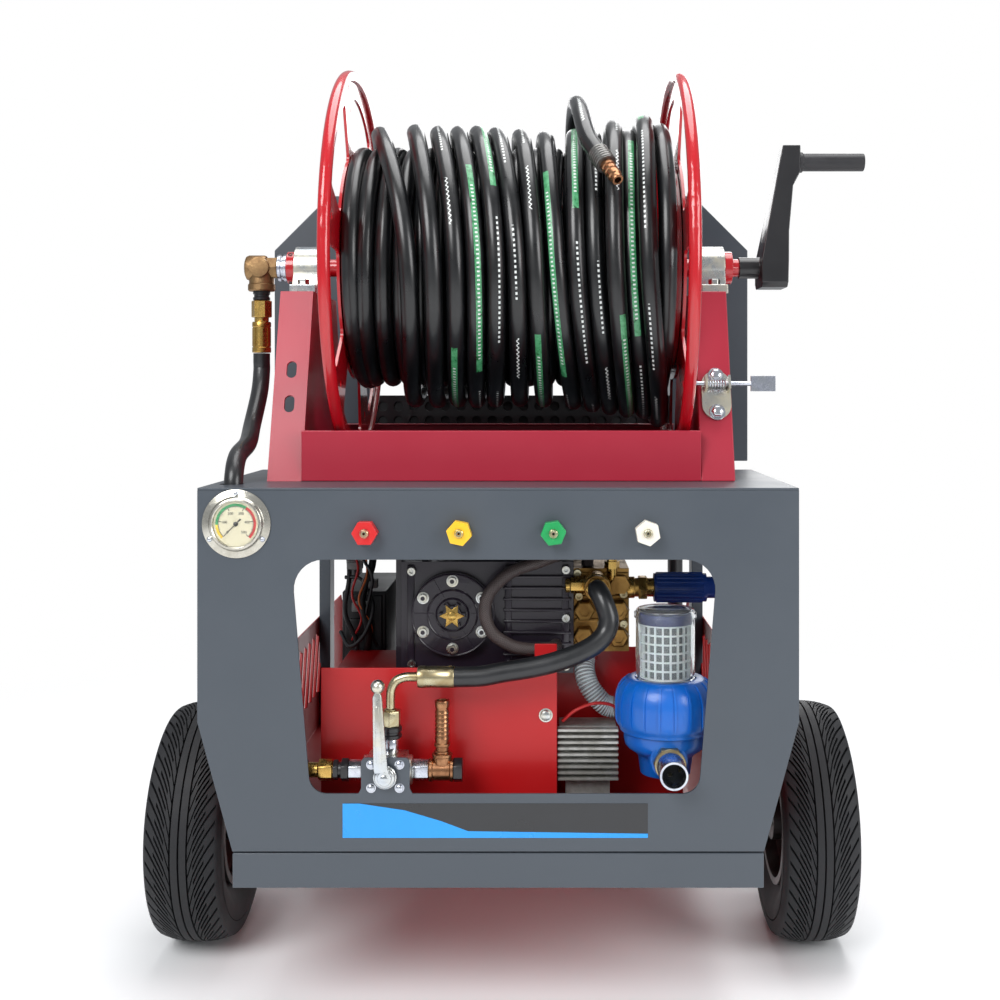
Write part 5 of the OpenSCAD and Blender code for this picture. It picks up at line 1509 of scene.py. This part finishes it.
# ---- water filter
@dataclass
class WaterFilter:
    """The clear bowl with its white basket on the blue ribbed body, and the inlet tube."""

    x: float = 207.0
    y: float = 75.0
    bowl_r: float = 37.0
    collar_r: float = 64.0
    inlet_z: float = 318.0

    def build(self) -> None:
        """Make the bowl, basket, collar, cone and inlet."""
        spot = (self.x, self.y, 0)
        r = self.bowl_r
        bowl = Form()
        bowl.turned([(r - 2.6, 410.4), (r, 410.4), (r, 483), (r + 0.6, 484), (r + 2, 485.2), (r + 2, 490.8),
                     (r + 0.6, 492), (r, 493), (r - 1.2, 495.6), (r - 3, 496.2), (0, 496.2), (0, 493.4),
                     (r - 4.4, 493.4), (r - 2.6, 491), (r - 2.6, 410.4)], spot, Axis.Z, 72)
        bowl.piece("filter_glass", "clear_plastic", "chassis", "clear_plastic", ("filter_bowl",), 40)
        band = Form()
        band.turned([(28, 478.5), (32.6, 478.5), (33.2, 480), (33.2, 488), (32, 490.4), (8, 491.4), (0, 491.4), (0, 489),
                     (28, 488), (28, 478.5)], spot, Axis.Z, 64)
        band.piece("filter_band", "band_blue", "chassis", "blue_plastic", (), 35)
        self._basket(spot)
        self._body(spot)
        self._inlet()

    def _basket(self, spot: tuple) -> None:
        """Make the white basket: rings, uprights and the grey mesh behind them.

        Args:
            spot: The filter's middle on the floor.
        """
        grid = Form()
        for k in range(7):
            z = 411.5 + k * 11.0
            grid.turned([(28.6, z - 1), (31.8, z - 1), (31.8, z + 1), (28.6, z + 1), (28.6, z - 1)], spot,
                        Axis.Z, 56)
        for k in range(20):
            bar = grid.box((29.0, -1.1, 410.6), (31.6, 1.1, 478.4))
            grid.spin(bar, (0, 0, 0), Axis.Z, k * 18 + 7)
            grid.shift(bar, spot)
        grid.piece("filter_basket", "basket_white", "chassis", "nozzle_white", (), 30)
        mesh = Form()
        mesh.turned([(27.2, 410.8), (28.4, 410.8), (28.4, 478.2), (27.2, 478.2), (27.2, 410.8)], spot, Axis.Z, 56)
        mesh.piece("filter_mesh", "mesh_grey", "chassis", "nozzle_white", (), 40)

    def _body(self, spot: tuple) -> None:
        """Make the blue collar with its ribs and the stepped cone under it.

        Args:
            spot: The filter's middle on the floor.
        """
        core = self.collar_r - 2
        body = Form()
        body.turned([(0, 290), (30, 290), (31.4, 291.4), (34, 311), (36.5, 315.6), (41, 319), (47, 323), (50.4, 327),
                     (52, 334), (52, 343.6), (core - 7, 344), (core - 5, 345.4), (core - 4.2, 349.6), (core - 2, 352),
                     (core - 0.6, 356.4), (core, 362), (core, 381), (core - 1, 389), (core - 4, 398),
                     (core - 8.6, 404.6), (core - 13, 408.4), (core - 16, 410), (38.4, 410), (38.4, 404), (0, 404)],
                    spot, Axis.Z, 96)
        for k in range(20):
            rib = body.prism([(core - 7.5, 352), (core - 1.0, 353.4), (core + 1.4, 360), (core + 1.6, 382),
                              (core + 0.2, 390), (core - 3, 399), (core - 7.6, 405.6), (core - 11.5, 408.6),
                              (core - 15, 406)], (0, -1.5, 0), Axis.Y, 3.0)
            body.spin(rib, (0, 0, 0), Axis.Z, k * 18 + 6)
            body.shift(rib, spot)
        for k in range(8):
            fin = body.prism([(30, 300), (35.4, 314), (46, 325), (51.6, 330), (51.6, 340), (30, 340)], (0, -1.6, 0),
                             Axis.Y, 3.2)
            body.spin(fin, (0, 0, 0), Axis.Z, k * 45 + 22)
            body.shift(fin, spot)
        boss = body.turned([(15, 26.2), (21.6, 26.2), (23, 27.6), (23, 50), (15, 50), (15, 26.2)],
                           (self.x, 0, self.inlet_z), Axis.Y, 56)
        body.turned([(8, 0), (11.4, 0), (11.8, 1), (11.8, 3), (11.2, 4), (11.2, 16), (8, 16), (8, 0)],
                    (146.9, 116, 362), Axis.X, 32)
        body.round_edges(0.7, 1, 60, boss)
        body.piece("filter_housing", "blue_plastic", "chassis", "blue_plastic", ("filter_body",), 32)

    def _inlet(self) -> None:
        """Make the steel nut, the plated tube that points at the viewer, and a black disc of painted shade inside its
        bore.
        """
        nut = Form()
        verts = nut.turned([(15.8, 12), (19.4, 12), (20, 13), (20, 25), (19.4, 26), (15.8, 26), (15.8, 12)],
                           (self.x, 0, self.inlet_z), Axis.Y, 6)
        nut.round_edges(0.6, 2, 40, verts)
        nut.turned([(15.6, 9.4), (18.6, 9.4), (19.2, 10.2), (19.2, 12), (15.6, 12), (15.6, 9.4)],
                   (self.x, 0, self.inlet_z), Axis.Y, 40)
        nut.piece("inlet_nut", "bronze_zinc", "chassis", "zinc", (), 30)
        tube = Form()
        tube.turned([(14.2, -34), (16.6, -34), (17, -33.4), (17, 3.6), (16.2, 4.6), (16.2, 26), (14, 26), (14, -33.4),
                     (14.2, -34)], (self.x, 0, self.inlet_z), Axis.Y, 72)
        tube.piece("inlet_tube", "zinc_bright", "chassis", "zinc", (), 35)
        # painted shade: a black disc inside the tube stands in for the shadow deep in its bore
        dark = Form()
        dark.turned([(0, 24), (14, 24), (14, 24.6), (0, 24.6)], (self.x, 0, self.inlet_z), Axis.Y, 40)
        dark.piece("inlet_painted_shade", "ink_black", "chassis", "black_plastic")


# ---- pump
@dataclass
class PumpTrim:
    """The pump's fine parts: cover bolts and badge, case ribs, head nuts, outlet and knob stem."""

    x: float = -63.0
    z: float = 481.0
    cover_y: float = 112.0
    case_y: float = 122.0
    bolt_r: float = 43.5
    head: tuple = (93.3, 132.0, 430.0)
    outlet: tuple = (122.0, 84.0, 519.0)
    stem: tuple = (148.0, 140.0, 512.0)

    def build(self) -> None:
        """Make the trim of the cover, the case, the head and the knob."""
        self._cover()
        self._case()
        self._head()
        self._knob()

    def _cover(self) -> None:
        """Make the socket bolts with their rings, the rim and the brass star of the round cover."""
        bolts = Form()
        for k in range(6):
            a = math.radians(30 + 60 * k)
            spot = (self.x + self.bolt_r * math.cos(a), self.cover_y, self.z + self.bolt_r * math.sin(a))
            bolts.turned([(0, -4.2), (2.6, -4.2), (2.8, -6.6), (5.2, -6.6), (5.6, -6), (5.6, -1.4), (7.6, -1.2), (7.8, -0.4),
                          (7.8, 0.4), (0, 0.4), (0, -4.2)], spot, Axis.Y, 32)
        bolts.piece("cover_bolts", "zinc", "chassis", "zinc", (), 40)
        rim = Form()
        for r in (53.4, 33.0, 22.0):
            rim.turned([(r - 2.4, -1.4), (r - 1.2, -2.2), (r, -1.4), (r, 0.5), (r - 2.4, 0.5), (r - 2.4, -1.4)],
                       (self.x, self.cover_y, self.z), Axis.Y, 72)
        for k in range(6):
            rib = rim.box((24, -1.6, -2), (50, 0.5, 2))
            rim.spin(rib, (0, 0, 0), Axis.Y, 60 * k)
            rim.shift(rib, (self.x, self.cover_y, self.z))
        rim.piece("cover_ribs", "pump_purple", "chassis", "pump_paint", (), 35)
        star = Form()
        points = [((16.4 if k % 2 == 0 else 8.4) * math.cos(math.pi * k / 6), (16.4 if k % 2 == 0 else 8.4) * math.sin(math.pi * k / 6))
                  for k in range(12)]
        verts = star.prism(points, (self.x, self.cover_y - 10.2, self.z), Axis.Y, 2.6)
        star.round_edges(0.6, 2, 40, verts)
        star.turned([(0, -12.6), (3.0, -12.4), (5.4, -11.6), (6.0, -10), (0, -10), (0, -12.6)],
                    (self.x, self.cover_y, self.z), Axis.Y, 32)
        star.piece("cover_star", "brass", "chassis", "brass", (), 35)

    def _case(self) -> None:
        """Make the ribs and raised pads of the case's front."""
        form = Form()
        for k in range(9):
            rib = form.box((2, self.case_y - 5, 412 + k * 14.4), (90, self.case_y + 0.6, 415.4 + k * 14.4))
            form.round_edges(1.0, 2, 40, rib)
        for x in (-122, 4, 78):
            pad = form.box((x, self.case_y - 3.4, 408), (x + 9, self.case_y + 0.6, 544))
            form.round_edges(1.2, 2, 40, pad)
        form.piece("case_ribs", "pump_purple", "chassis", "pump_paint")
        caps = Form()
        for x, z in ((-116, 536), (-116, 416), (10, 536), (10, 416), (83, 538), (83, 476), (83, 414)):
            caps.turned([(0, -4.6), (2.4, -4.6), (2.6, -8.2), (5.0, -8.2), (5.4, -7.6), (5.4, -3), (0, -3), (0, -4.6)],
                        (x, self.case_y, z), Axis.Y, 28)
        caps.piece("case_bolts", "zinc", "chassis", "zinc", (), 40)

    def _head(self) -> None:
        """Make the bosses, cap nuts and bolts of the brass head, and the copper fittings round it."""
        x0, y0, z0 = self.head
        cast = Form()
        for x in (107, 151):
            for z in (450, 484):
                cast.turned([(7, -14.6), (11.6, -14.6), (13.4, -13.4), (14.6, -3), (15.2, 0.5), (7, 0.5), (7, -14.6)],
                            (x, y0, z), Axis.Y, 6)
        for k in range(4):
            bar = cast.box((x0 + 1, y0 - 2.4, z0 + 8 + k * 30), (x0 + 71, y0 + 0.5, z0 + 13 + k * 30))
            cast.round_edges(1.0, 2, 40, bar)
        cast.piece("head_caps", "brass_cast", "chassis", "brass", (), 30)
        socket = Form()
        for x, z in ((129, 442), (129, 467), (129, 494), (100, 502), (158, 466), (158, 505), (98, 532)):
            socket.turned([(0, -3.0), (2.4, -3.0), (2.6, -6.2), (4.8, -6.2), (5.2, -5.6), (5.2, 0.4), (0, 0.4), (0, -3.0)],
                          (x, y0, z), Axis.Y, 28)
        socket.piece("head_bolts", "bronze_zinc", "chassis", "zinc", (), 40)
        x, y, z = self.outlet
        nut = Form()
        nut.turned([(10.6, -6), (14.2, -6), (15.2, -4.8), (15.2, 9), (14.2, 10.2), (10.6, 10.2), (10.6, -6)], (x, y, z),
                   Axis.Y, 6)
        nut.turned([(12.4, 10.4), (15.8, 10.4), (17.2, 12), (17.2, 46), (12.4, 46), (12.4, 10.4)], (x, y, z), Axis.Y, 48)
        nut.rod((x - 33, y + 26, z), Axis.X, 21, 18, 6)
        nut.turned([(4, -40), (8, -40), (9, -39), (9, -34), (4, -33), (4, -40)], (x, y + 26, z), Axis.X, 32)
        nut.round_edges(0.5, 2, 45)
        nut.piece("outlet_nut", "brass", "chassis", "brass", (), 35)
        pipe = Form()
        pipe.tube([Vector(p) for p in ((143, 128, 524), (143, 128, 538), (143, 128, 556))], 13, 24)
        pipe.turned([(6, 538.6), (9.8, 538.6), (9.8, 548), (6, 548), (6, 538.6)], (143, 128, 0), Axis.Z, 6)
        pipe.piece("head_riser", "brass", "chassis", "brass", (), 40)

    def _knob(self) -> None:
        """Make the brass stem with its nuts between the head and the blue knob."""
        x, y, z = self.stem
        form = Form()
        form.turned([(6, 14), (13.4, 14), (14, 15), (14, 24), (13.2, 25), (12.2, 25), (12.2, 49.6), (6, 49.6), (6, 14)],
                    (x, y, z), Axis.X, 40)
        form.turned([(12.3, 30), (15.4, 30), (16.2, 31), (16.2, 40), (15.4, 41), (12.3, 41), (12.3, 30)], (x, y, z),
                    Axis.X, 6)
        form.piece("knob_stem", "brass", "chassis", "brass", (), 35)
        clamp = Form()
        clamp.turned([(15.2, -5), (16.4, -5), (16.4, 5), (15.2, 5), (15.2, -5)], (109, 150, 421), Axis.Z, 48)
        clamp.box((91, 129.6, 416.6), (97, 140, 425.4))
        clamp.rod((88.6, 134.6, 421), Axis.X, 5, 10, 16)
        clamp.piece("suction_clamp", "zinc_bright", "chassis", "zinc")


# ---- reel ends
@dataclass
class ReelTrim:
    """The swivel elbow and its fittings, the shaft collars' set screws and the lock's bolts."""

    elbow_end: float = -308.3
    elbow_x: float = -346.3
    feed_top: float = 823.0
    lock_lean: float = 18.37
    lock_bolts: tuple = ((280.0, 125.4, 743.1), (280.0, 141.2, 790.5))

    def build(self) -> None:
        """Make both ends of the shaft, the elbow group and the lock's bolts."""
        self._elbow()
        self._drop()
        self._collars()
        self._lock()

    def _elbow(self) -> None:
        """Make the plated ring, the bronze hexagon and the cast swivel body."""
        spot = (self.elbow_end, REEL_Y, REEL_Z)
        ring = Form()
        ring.turned([(12.8, -13.8), (18.2, -13.8), (19, -12.8), (19, -9), (17, -8), (17, -6), (19, -5), (19, -1), (18.2, -0.2),
                     (12.8, -0.2), (12.8, -13.8)], spot, Axis.X, 48)
        ring.piece("swivel_ring", "zinc_bright", "chassis", "bronze", (), 30)
        body = Form()
        body.turned([(10, -30), (15.2, -30), (16, -29), (16, -15), (15.2, -14), (10, -14), (10, -30)], spot, Axis.X, 6)
        body.turned([(0, -60), (13, -60), (16.4, -58.4), (18, -55), (18, -33.4), (17, -31), (15, -30.2), (0, -30.2)],
                    spot, Axis.X, 48)
        x, z = self.elbow_x, REEL_Z
        body.turned([(0, -33), (17.4, -33), (19, -31.4), (19, -24), (17.4, -22), (17.4, 0), (14, 10), (0, 15)],
                    (x, REEL_Y, z), Axis.Z, 48)
        body.turned([(12, -2.4), (14, -2), (14.4, 0), (14.4, 3), (0, 3), (0, -2.4), (12, -2.4)], (x, REEL_Y - 18, z),
                    Axis.Y, 40)
        body.piece("swivel_casting", "bronze", "chassis", "bronze", ("swivel_elbow",), 32)

    def _drop(self) -> None:
        """Make the black adapter, the brass hexagon and the long crimp over the feed hose."""
        spot = (self.elbow_x, REEL_Y, REEL_Z)
        black = Form()
        black.turned([(6, -46), (11, -46), (12, -45), (12, -42), (10.6, -41), (10.6, -38), (12, -37), (12, -33.2),
                      (6, -33.2), (6, -46)], spot, Axis.Z, 40)
        black.piece("swivel_adapter", "black_satin", "chassis", "black_metal", (), 30)
        brass = Form()
        brass.turned([(6, -70), (13.5, -70), (14.5, -69), (14.5, -47.4), (13.5, -46.4), (6, -46.4), (6, -70)], spot,
                     Axis.Z, 6)
        brass.turned([(6, -76), (9.6, -76), (10, -75), (10, -70.2), (6, -70.2), (6, -76)], spot, Axis.Z, 32)
        low = self.feed_top - REEL_Z
        brass.turned([(11.4, low), (12.6, low), (13.2, low + 1), (13.2, low + 7), (12.4, low + 8), (12.4, -84), (13.2, -83),
                      (13.2, -78), (12.4, -76.4), (6, -76.4), (6, low + 3), (11.4, low + 3), (11.4, low)],
                     spot, Axis.Z, 44)
        for k in range(8):
            groove = brass.box((12.0, -1.3, low + 9), (13.0, 1.3, -85))
            brass.spin(groove, (0, 0, 0), Axis.Z, k * 45 + 12)
            brass.shift(groove, spot)
        brass.piece("swivel_crimp", "brass", "chassis", "brass", (), 30)

    def _collars(self) -> None:
        """Make the set screws of the shaft collars."""
        screws = Form()
        for x in (-302.6, 302.0):
            for k in range(3):
                screw = screws.turned([(0, 22.6), (1.6, 22.6), (1.8, 23.6), (3.2, 23.6), (3.4, 22.4), (3.4, 20), (0, 20),
                                       (0, 22.6)], (0, 0, 0), Axis.Z, 20)
                screws.spin(screw, (0, 0, 0), Axis.X, 40 + 120 * k)
                screws.shift(screw, (x, REEL_Y, REEL_Z))
        screws.piece("collar_screws", "ink_black", "reel", "black_metal", (), 40)

    def _lock(self) -> None:
        """Make the two large bolts of the lock's plate."""
        form = Form()
        for x, y, z in self.lock_bolts:
            bolt = form.turned([(0, -2.6), (5.6, -2.6), (7.4, -1.6), (8.2, -0.4), (8.2, 5.0), (0, 5.0), (0, -2.6)],
                               (0, 0, 0), Axis.Y, 6)
            bolt += form.turned([(4, 5.0), (10.2, 5.1), (10.8, 5.6), (10.8, 6.2), (4, 6.2), (4, 5.0)], (0, 0, 0), Axis.Y, 32)
            form.spin(bolt, (0, 0, 0), Axis.X, -self.lock_lean)
            form.shift(bolt, (x, y, z))
        form.piece("lock_bolts", "zinc_bright", "chassis", "zinc", (), 35)


# ---- inside the cabinet
@dataclass
class CabinetInside:
    """What shows in the window behind the fittings: wires, control box, trim, and a near-black sheet of painted shade
    behind the guard.
    """

    box: tuple = ((-240, 330, 300), (-176, 520, 476))
    guard: tuple = ((-233.4, 588.4, 654), (233.4, 590, 759))
    tray_x: float = 318.0

    def build(self) -> None:
        """Make the painted shade behind the guard, the control box, the wires, the box's trim and the louver lips."""
        self._guard_painted_shade()
        self._controls()
        self._wires()
        self._trim()
        self._louvers()

    def _guard_painted_shade(self) -> None:
        """Make the near-black plate close behind the perforated guard: painted shade where only shadow would show
        through its holes.
        """
        form = Form()
        # painted shade: a matte near-black sheet stands in for the shadow behind the guard's holes
        form.box(*self.guard)
        form.piece("guard_painted_shade", "painted_shade_black", "chassis", "black_metal")

    def _controls(self) -> None:
        """Make the control box with its lid and connectors, and the grey wire plugs."""
        low, high = self.box
        form = Form()
        form.box(low, high)
        form.box((low[0] + 5, low[1] - 4, low[2] + 5), (high[0] - 5, low[1] + 1, high[2] - 5))
        for k in range(3):
            form.box((low[0] + 12, low[1] - 10, low[2] + 22 + k * 46), (low[0] + 46, low[1] - 3, low[2] + 46 + k * 46))
        form.round_edges(2.0, 3, 40)
        form.piece("control_box", "black_plastic", "chassis", "black_plastic")
        plugs = Form()
        for x, y, z in ((-229, 300, 512), (-206, 292, 486), (-221, 296, 452)):
            plugs.box((x, y, z), (x + 22, y + 16, z + 13))
            plugs.box((x + 3, y - 3, z + 2), (x + 19, y + 1, z + 11))
        plugs.round_edges(1.2, 2, 40)
        plugs.piece("wire_plugs", "plug_grey", "chassis", "black_plastic")

    def _wires(self) -> None:
        """Make the bundle of wires that hangs beside the pump."""
        runs = [
            ("wire_black", "black_plastic", 7.0, [(-232, 330, 540), (-226, 306, 500), (-231, 300, 450), (-214, 304, 400),
                                                  (-236, 320, 340)]),
            ("wire_sleeve", "ink_black", 11.0, [(-196, 330, 560), (-192, 300, 520), (-206, 290, 470), (-196, 296, 420),
                                                (-212, 318, 360)]),
            ("wire_thin", "black_plastic", 4.5, [(-218, 320, 556), (-204, 288, 530), (-190, 286, 500), (-200, 290, 440),
                                                 (-186, 310, 400)]),
            ("wire_loop", "black_plastic", 5.5, [(-240, 316, 420), (-222, 288, 404), (-200, 284, 424), (-190, 292, 462),
                                                 (-208, 300, 498), (-232, 308, 500)]),
            ("wire_red", "wire_red", 3.4, [(-226, 316, 548), (-211, 290, 516), (-219, 286, 478), (-206, 290, 444),
                                           (-222, 306, 410)]),
            ("wire_orange", "wire_orange", 3.0, [(-206, 312, 552), (-198, 288, 508), (-209, 285, 470), (-192, 292, 432),
                                                 (-198, 310, 396)]),
        ]
        for name, finish, d, points in runs:
            form = Form()
            form.tube(smooth_run(points, 7), d, 12)
            form.piece(name, finish, "chassis", "black_plastic", (), 60)

    def _trim(self) -> None:
        """Make the olive strip with pale tags along the red box's top edge and the pan-head bolt."""
        strip = Form()
        edge = strip.box((-196, 70, 396.3), (22, 108, 398.2))
        strip.round_edges(0.5, 2, 40, edge)
        strip.piece("box_strip", "olive_trim", "chassis", "black_plastic")
        tags = Form()
        for x in (-182, -150, -118, -86, -44, -12):
            tags.box((x, 76, 398.1), (x + 16, 92, 398.5))
        tags.piece("box_tags", "label_white", "chassis", "nozzle_white")
        bolt = Form()
        bolt.turned([(0, -4.4), (3.0, -4.2), (5.8, -3.0), (6.8, -1.0), (6.8, 0.2), (0, 0.2), (0, -4.4)], (57, 65.9, 364),
                    Axis.Y, 32)
        bolt.turned([(6.9, -1.0), (8.6, -0.8), (8.6, 0.2), (6.9, 0.2), (6.9, -1.0)], (57, 65.9, 364), Axis.Y, 32)
        bolt.piece("box_bolt", "zinc", "chassis", "zinc", (), 40)
        lead = Form()
        lead.tube(smooth_run([(78, 84, 352), (96, 78, 368), (122, 86, 374), (146, 96, 366), (156, 112, 340)], 8), 4.2, 12)
        lead.piece("regulator_lead", "wire_red", "chassis", "black_plastic", (), 60)

    def _louvers(self) -> None:
        """Make the pressed lips of the tray's side slots."""
        form = Form()
        for side in (-1, 1):
            for k in range(14):
                lip = form.box((-4.6, 5.2, -49), (-1.4, 7.6, 49))
                if side < 0:
                    form.shift(lip, (6, 0, 0))
                form.spin(lip, (0, 0, 0), Axis.X, -20)
                form.shift(lip, (side * self.tray_x, 120 + 34 * k, 324))
        form.round_edges(0.8, 2, 40)
        form.piece("louver_lips", "tray_red", "chassis", "tray_red")


# ---- short hoses
@dataclass
class ShortHoses:
    """The fixed hoses between the fittings, drawn smooth along the same routes as their solids."""

    elbow_x: float = -346.3
    feed_d: float = 23.5
    bypass_d: float = 16.0
    suction_d: float = 27.0
    feed: tuple = ((0, 280, 822), (0, 280, 811), (0, 280, 796), (1, 262, 766.3), (2, 214, 722),
                   (11.3, 150, 700), (12.3, 92, 686), (14.3, 64, 662), (14.3, 62, 630), (14.3, 62, 600),
                   (16.3, 56, 550), (22.3, 44, 490), (32.3, 32, 430), (44.3, 26, 370), (58.3, 26, 329),
                   (84.3, 26, 309), (100.3, 26, 308), (113.3, 26, 308))
    delivery: tuple = ((-54, 26, 421), (-45, 26, 421), (-20, 26, 422), (4, 28, 426), (38, 30, 431), (66, 32, 437),
                       (95, 37, 446), (118, 44, 457), (131, 50, 470), (135, 53, 485), (131, 57, 501), (126, 63, 513),
                       (122, 70, 519), (122, 77, 519), (122, 83, 519))
    bypass: tuple = ((112, 150, 538.9), (112, 150, 543), (111.5, 148.5, 549), (109, 142, 557), (100, 126, 562),
                     (80, 108, 561), (50, 94, 552), (12, 92, 538), (-14, 92, 513), (-20, 92, 487), (-11, 92, 462),
                     (12, 92, 446), (36, 92, 441), (54, 95, 441), (66, 104, 441), (70, 112, 441), (70, 121, 441))
    suction: tuple = ((146, 116, 362), (139, 116, 362), (130, 116, 367), (120, 117, 378), (112, 120, 390),
                      (108, 127, 402), (107.5, 138, 412), (109, 147, 419), (109, 150, 424), (109, 150, 429.2))

    def build(self) -> None:
        """Make the four hoses and the coil in the clear one."""
        feed = [(self.elbow_x + x, y, z) for x, y, z in self.feed]
        self._hose("feed_hose", feed, self.feed_d, "feed_rubber", "hose_rubber")
        self._hose("delivery_hose", self.delivery, self.feed_d + 1.5, "feed_rubber", "hose_rubber")
        self._hose("bypass_hose", self.bypass, self.bypass_d, "braid_brown", "braid")
        self._hose("suction_hose", self.suction, self.suction_d - 1.6, "suction_clear", "clear_plastic")
        self._coil()

    def _hose(self, node: str, route: tuple, d: float, finish: str, slot: str) -> None:
        """Draw one hose in place of its solid.

        Args:
            node: The node it stands for.
            route: The points it goes through.
            d: Its diameter.
            finish: Its finish.
            slot: Its material slot.
        """
        form = Form()
        form.tube(smooth_run(route, 8), d, 28, gauge=True)
        form.piece(node + "_cover", finish, "chassis", slot, (node,), 60)

    def _coil(self) -> None:
        """Wind the white ribs of the clear suction hose."""
        run = smooth_run(self.suction, 8)
        form = Form()
        for i in range(4, len(run) - 5, 2):
            way = (run[i + 1] - run[i - 1]).normalized()
            ring = bmesh.ops.create_cone(form.bm, cap_ends=False, segments=28, radius1=self.suction_d / 2,
                                         radius2=self.suction_d / 2, depth=1.7)["verts"]
            turn = way.to_track_quat("Z", "Y").to_matrix().to_4x4()
            bmesh.ops.transform(form.bm, matrix=Matrix.Translation(run[i]) @ turn, verts=ring)
        bmesh.ops.solidify(form.bm, geom=form.bm.faces[:], thickness=0.7)
        form.piece("suction_coil", "coil_white", "chassis", "clear_plastic", (), 40)


# ---- engine
@dataclass
class EngineTrim:
    """The tank's straps and seam, and the blower's rim, ribs, bolts and pull handle, seen from behind."""

    blower: tuple = (0.0, 720.0, 430.0)
    strap: float = 26.0

    def build(self) -> None:
        """Make the straps, the seam and the blower's trim."""
        low, high = ([v * 1000 + m for v, m in zip(corner, (MID_X, MID_Y, 0))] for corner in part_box("fuel_tank"))
        top = high[2] - 12
        straps = Form()
        for x in (-112, 112):
            for a, b in (((-1, low[1] - 1.6, top - 0.4), (1, high[1] + 1.6, top + 1.6)),
                         ((-1, low[1] - 1.6, low[2] + 0.4), (1, low[1] + 0.4, top + 1.6)),
                         ((-1, high[1] - 0.4, low[2] + 0.4), (1, high[1] + 1.6, top + 1.6))):
                straps.box((x + a[0] * self.strap / 2, *a[1:]), (x + b[0] * self.strap / 2, *b[1:]))
            straps.rod((x, low[1] - 6, low[2] + 60), Axis.Y, 11, 5, 6)
        straps.round_edges(0.6, 2, 40)
        straps.piece("tank_straps", "zinc", "chassis", "zinc")
        seam = Form()
        mid = (low[2] + top) / 2
        seam.box((low[0] - 2.4, low[1] - 2.4, mid - 2), (high[0] + 2.4, high[1] + 2.4, mid + 2))
        seam.round_edges(1.2, 2, 40)
        seam.piece("tank_seam", "black_plastic", "chassis", "black_plastic")
        rim = Form()
        for r, w in ((163, 9), (137, 4), (102, 4), (67, 4)):
            rim.turned([(r - w, -0.4), (r, -0.4), (r, 2.4), (r - 1.2, 3.6), (r - w + 1.2, 3.6), (r - w, 2.4),
                        (r - w, -0.4)], self.blower, Axis.Y, 72)
        rim.turned([(0, -0.4), (31, -0.4), (31, 6), (28, 11), (20, 13), (0, 13), (0, -0.4)], self.blower, Axis.Y, 48)
        for k in range(9):
            rib = rim.box((30, -0.4, -2.2), (160, 3, 2.2))
            rim.spin(rib, (0, 0, 0), Axis.Y, 40 * k + 10)
            rim.shift(rib, self.blower)
        rim.piece("blower_grille", "black_plastic", "chassis", "black_plastic", (), 35)
        x, y, z = self.blower
        pull = Form()
        grip = pull.box((x + 44, y + 14, z + 118), (x + 118, y + 32, z + 134))
        pull.round_edges(6.5, 4, 40, grip)
        pull.rod((x + 81, y + 1, z + 126), Axis.Y, 16, 16, 32)
        pull.piece("pull_handle", "red_plastic", "chassis", "black_plastic")
        bolts = Form()
        for k in range(6):
            a = math.radians(60 * k + 30)
            bolts.turned([(0, 3.4), (8, 3.4), (8, 4.4), (5.8, 4.6), (5.8, 9), (4.8, 9.8), (0, 9.8), (0, 3.4)],
                         (x + 158 * math.cos(a), y, z + 158 * math.sin(a)), Axis.Y, 6)
        bolts.piece("blower_bolts", "zinc", "chassis", "zinc", (), 35)


def main() -> None:
    """Build the studio, the cords, the dressed frame and the fine parts, in that order."""
    logging.basicConfig(level=logging.INFO, format="%(message)s")
    Studio().build()
    JettingHose().build()
    for skin in SKINS:
        skin.build()
        log.info("skin: %s", skin.node)
    for part in (Wheels(), Gauge(), PanelTrim(), ValveGroup(), WaterFilter(), PumpTrim(), ReelTrim(),
                 CabinetInside(), ShortHoses(), TipFaces(),
                 EngineTrim()):
        part.build()
        log.info("dressed: %s", type(part).__name__)
    ({"cad": [list(map(float, c)) for c in CAD_BOX],
               "visual": [list(map(float, c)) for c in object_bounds()]})


if __name__ == "__main__":
    main()
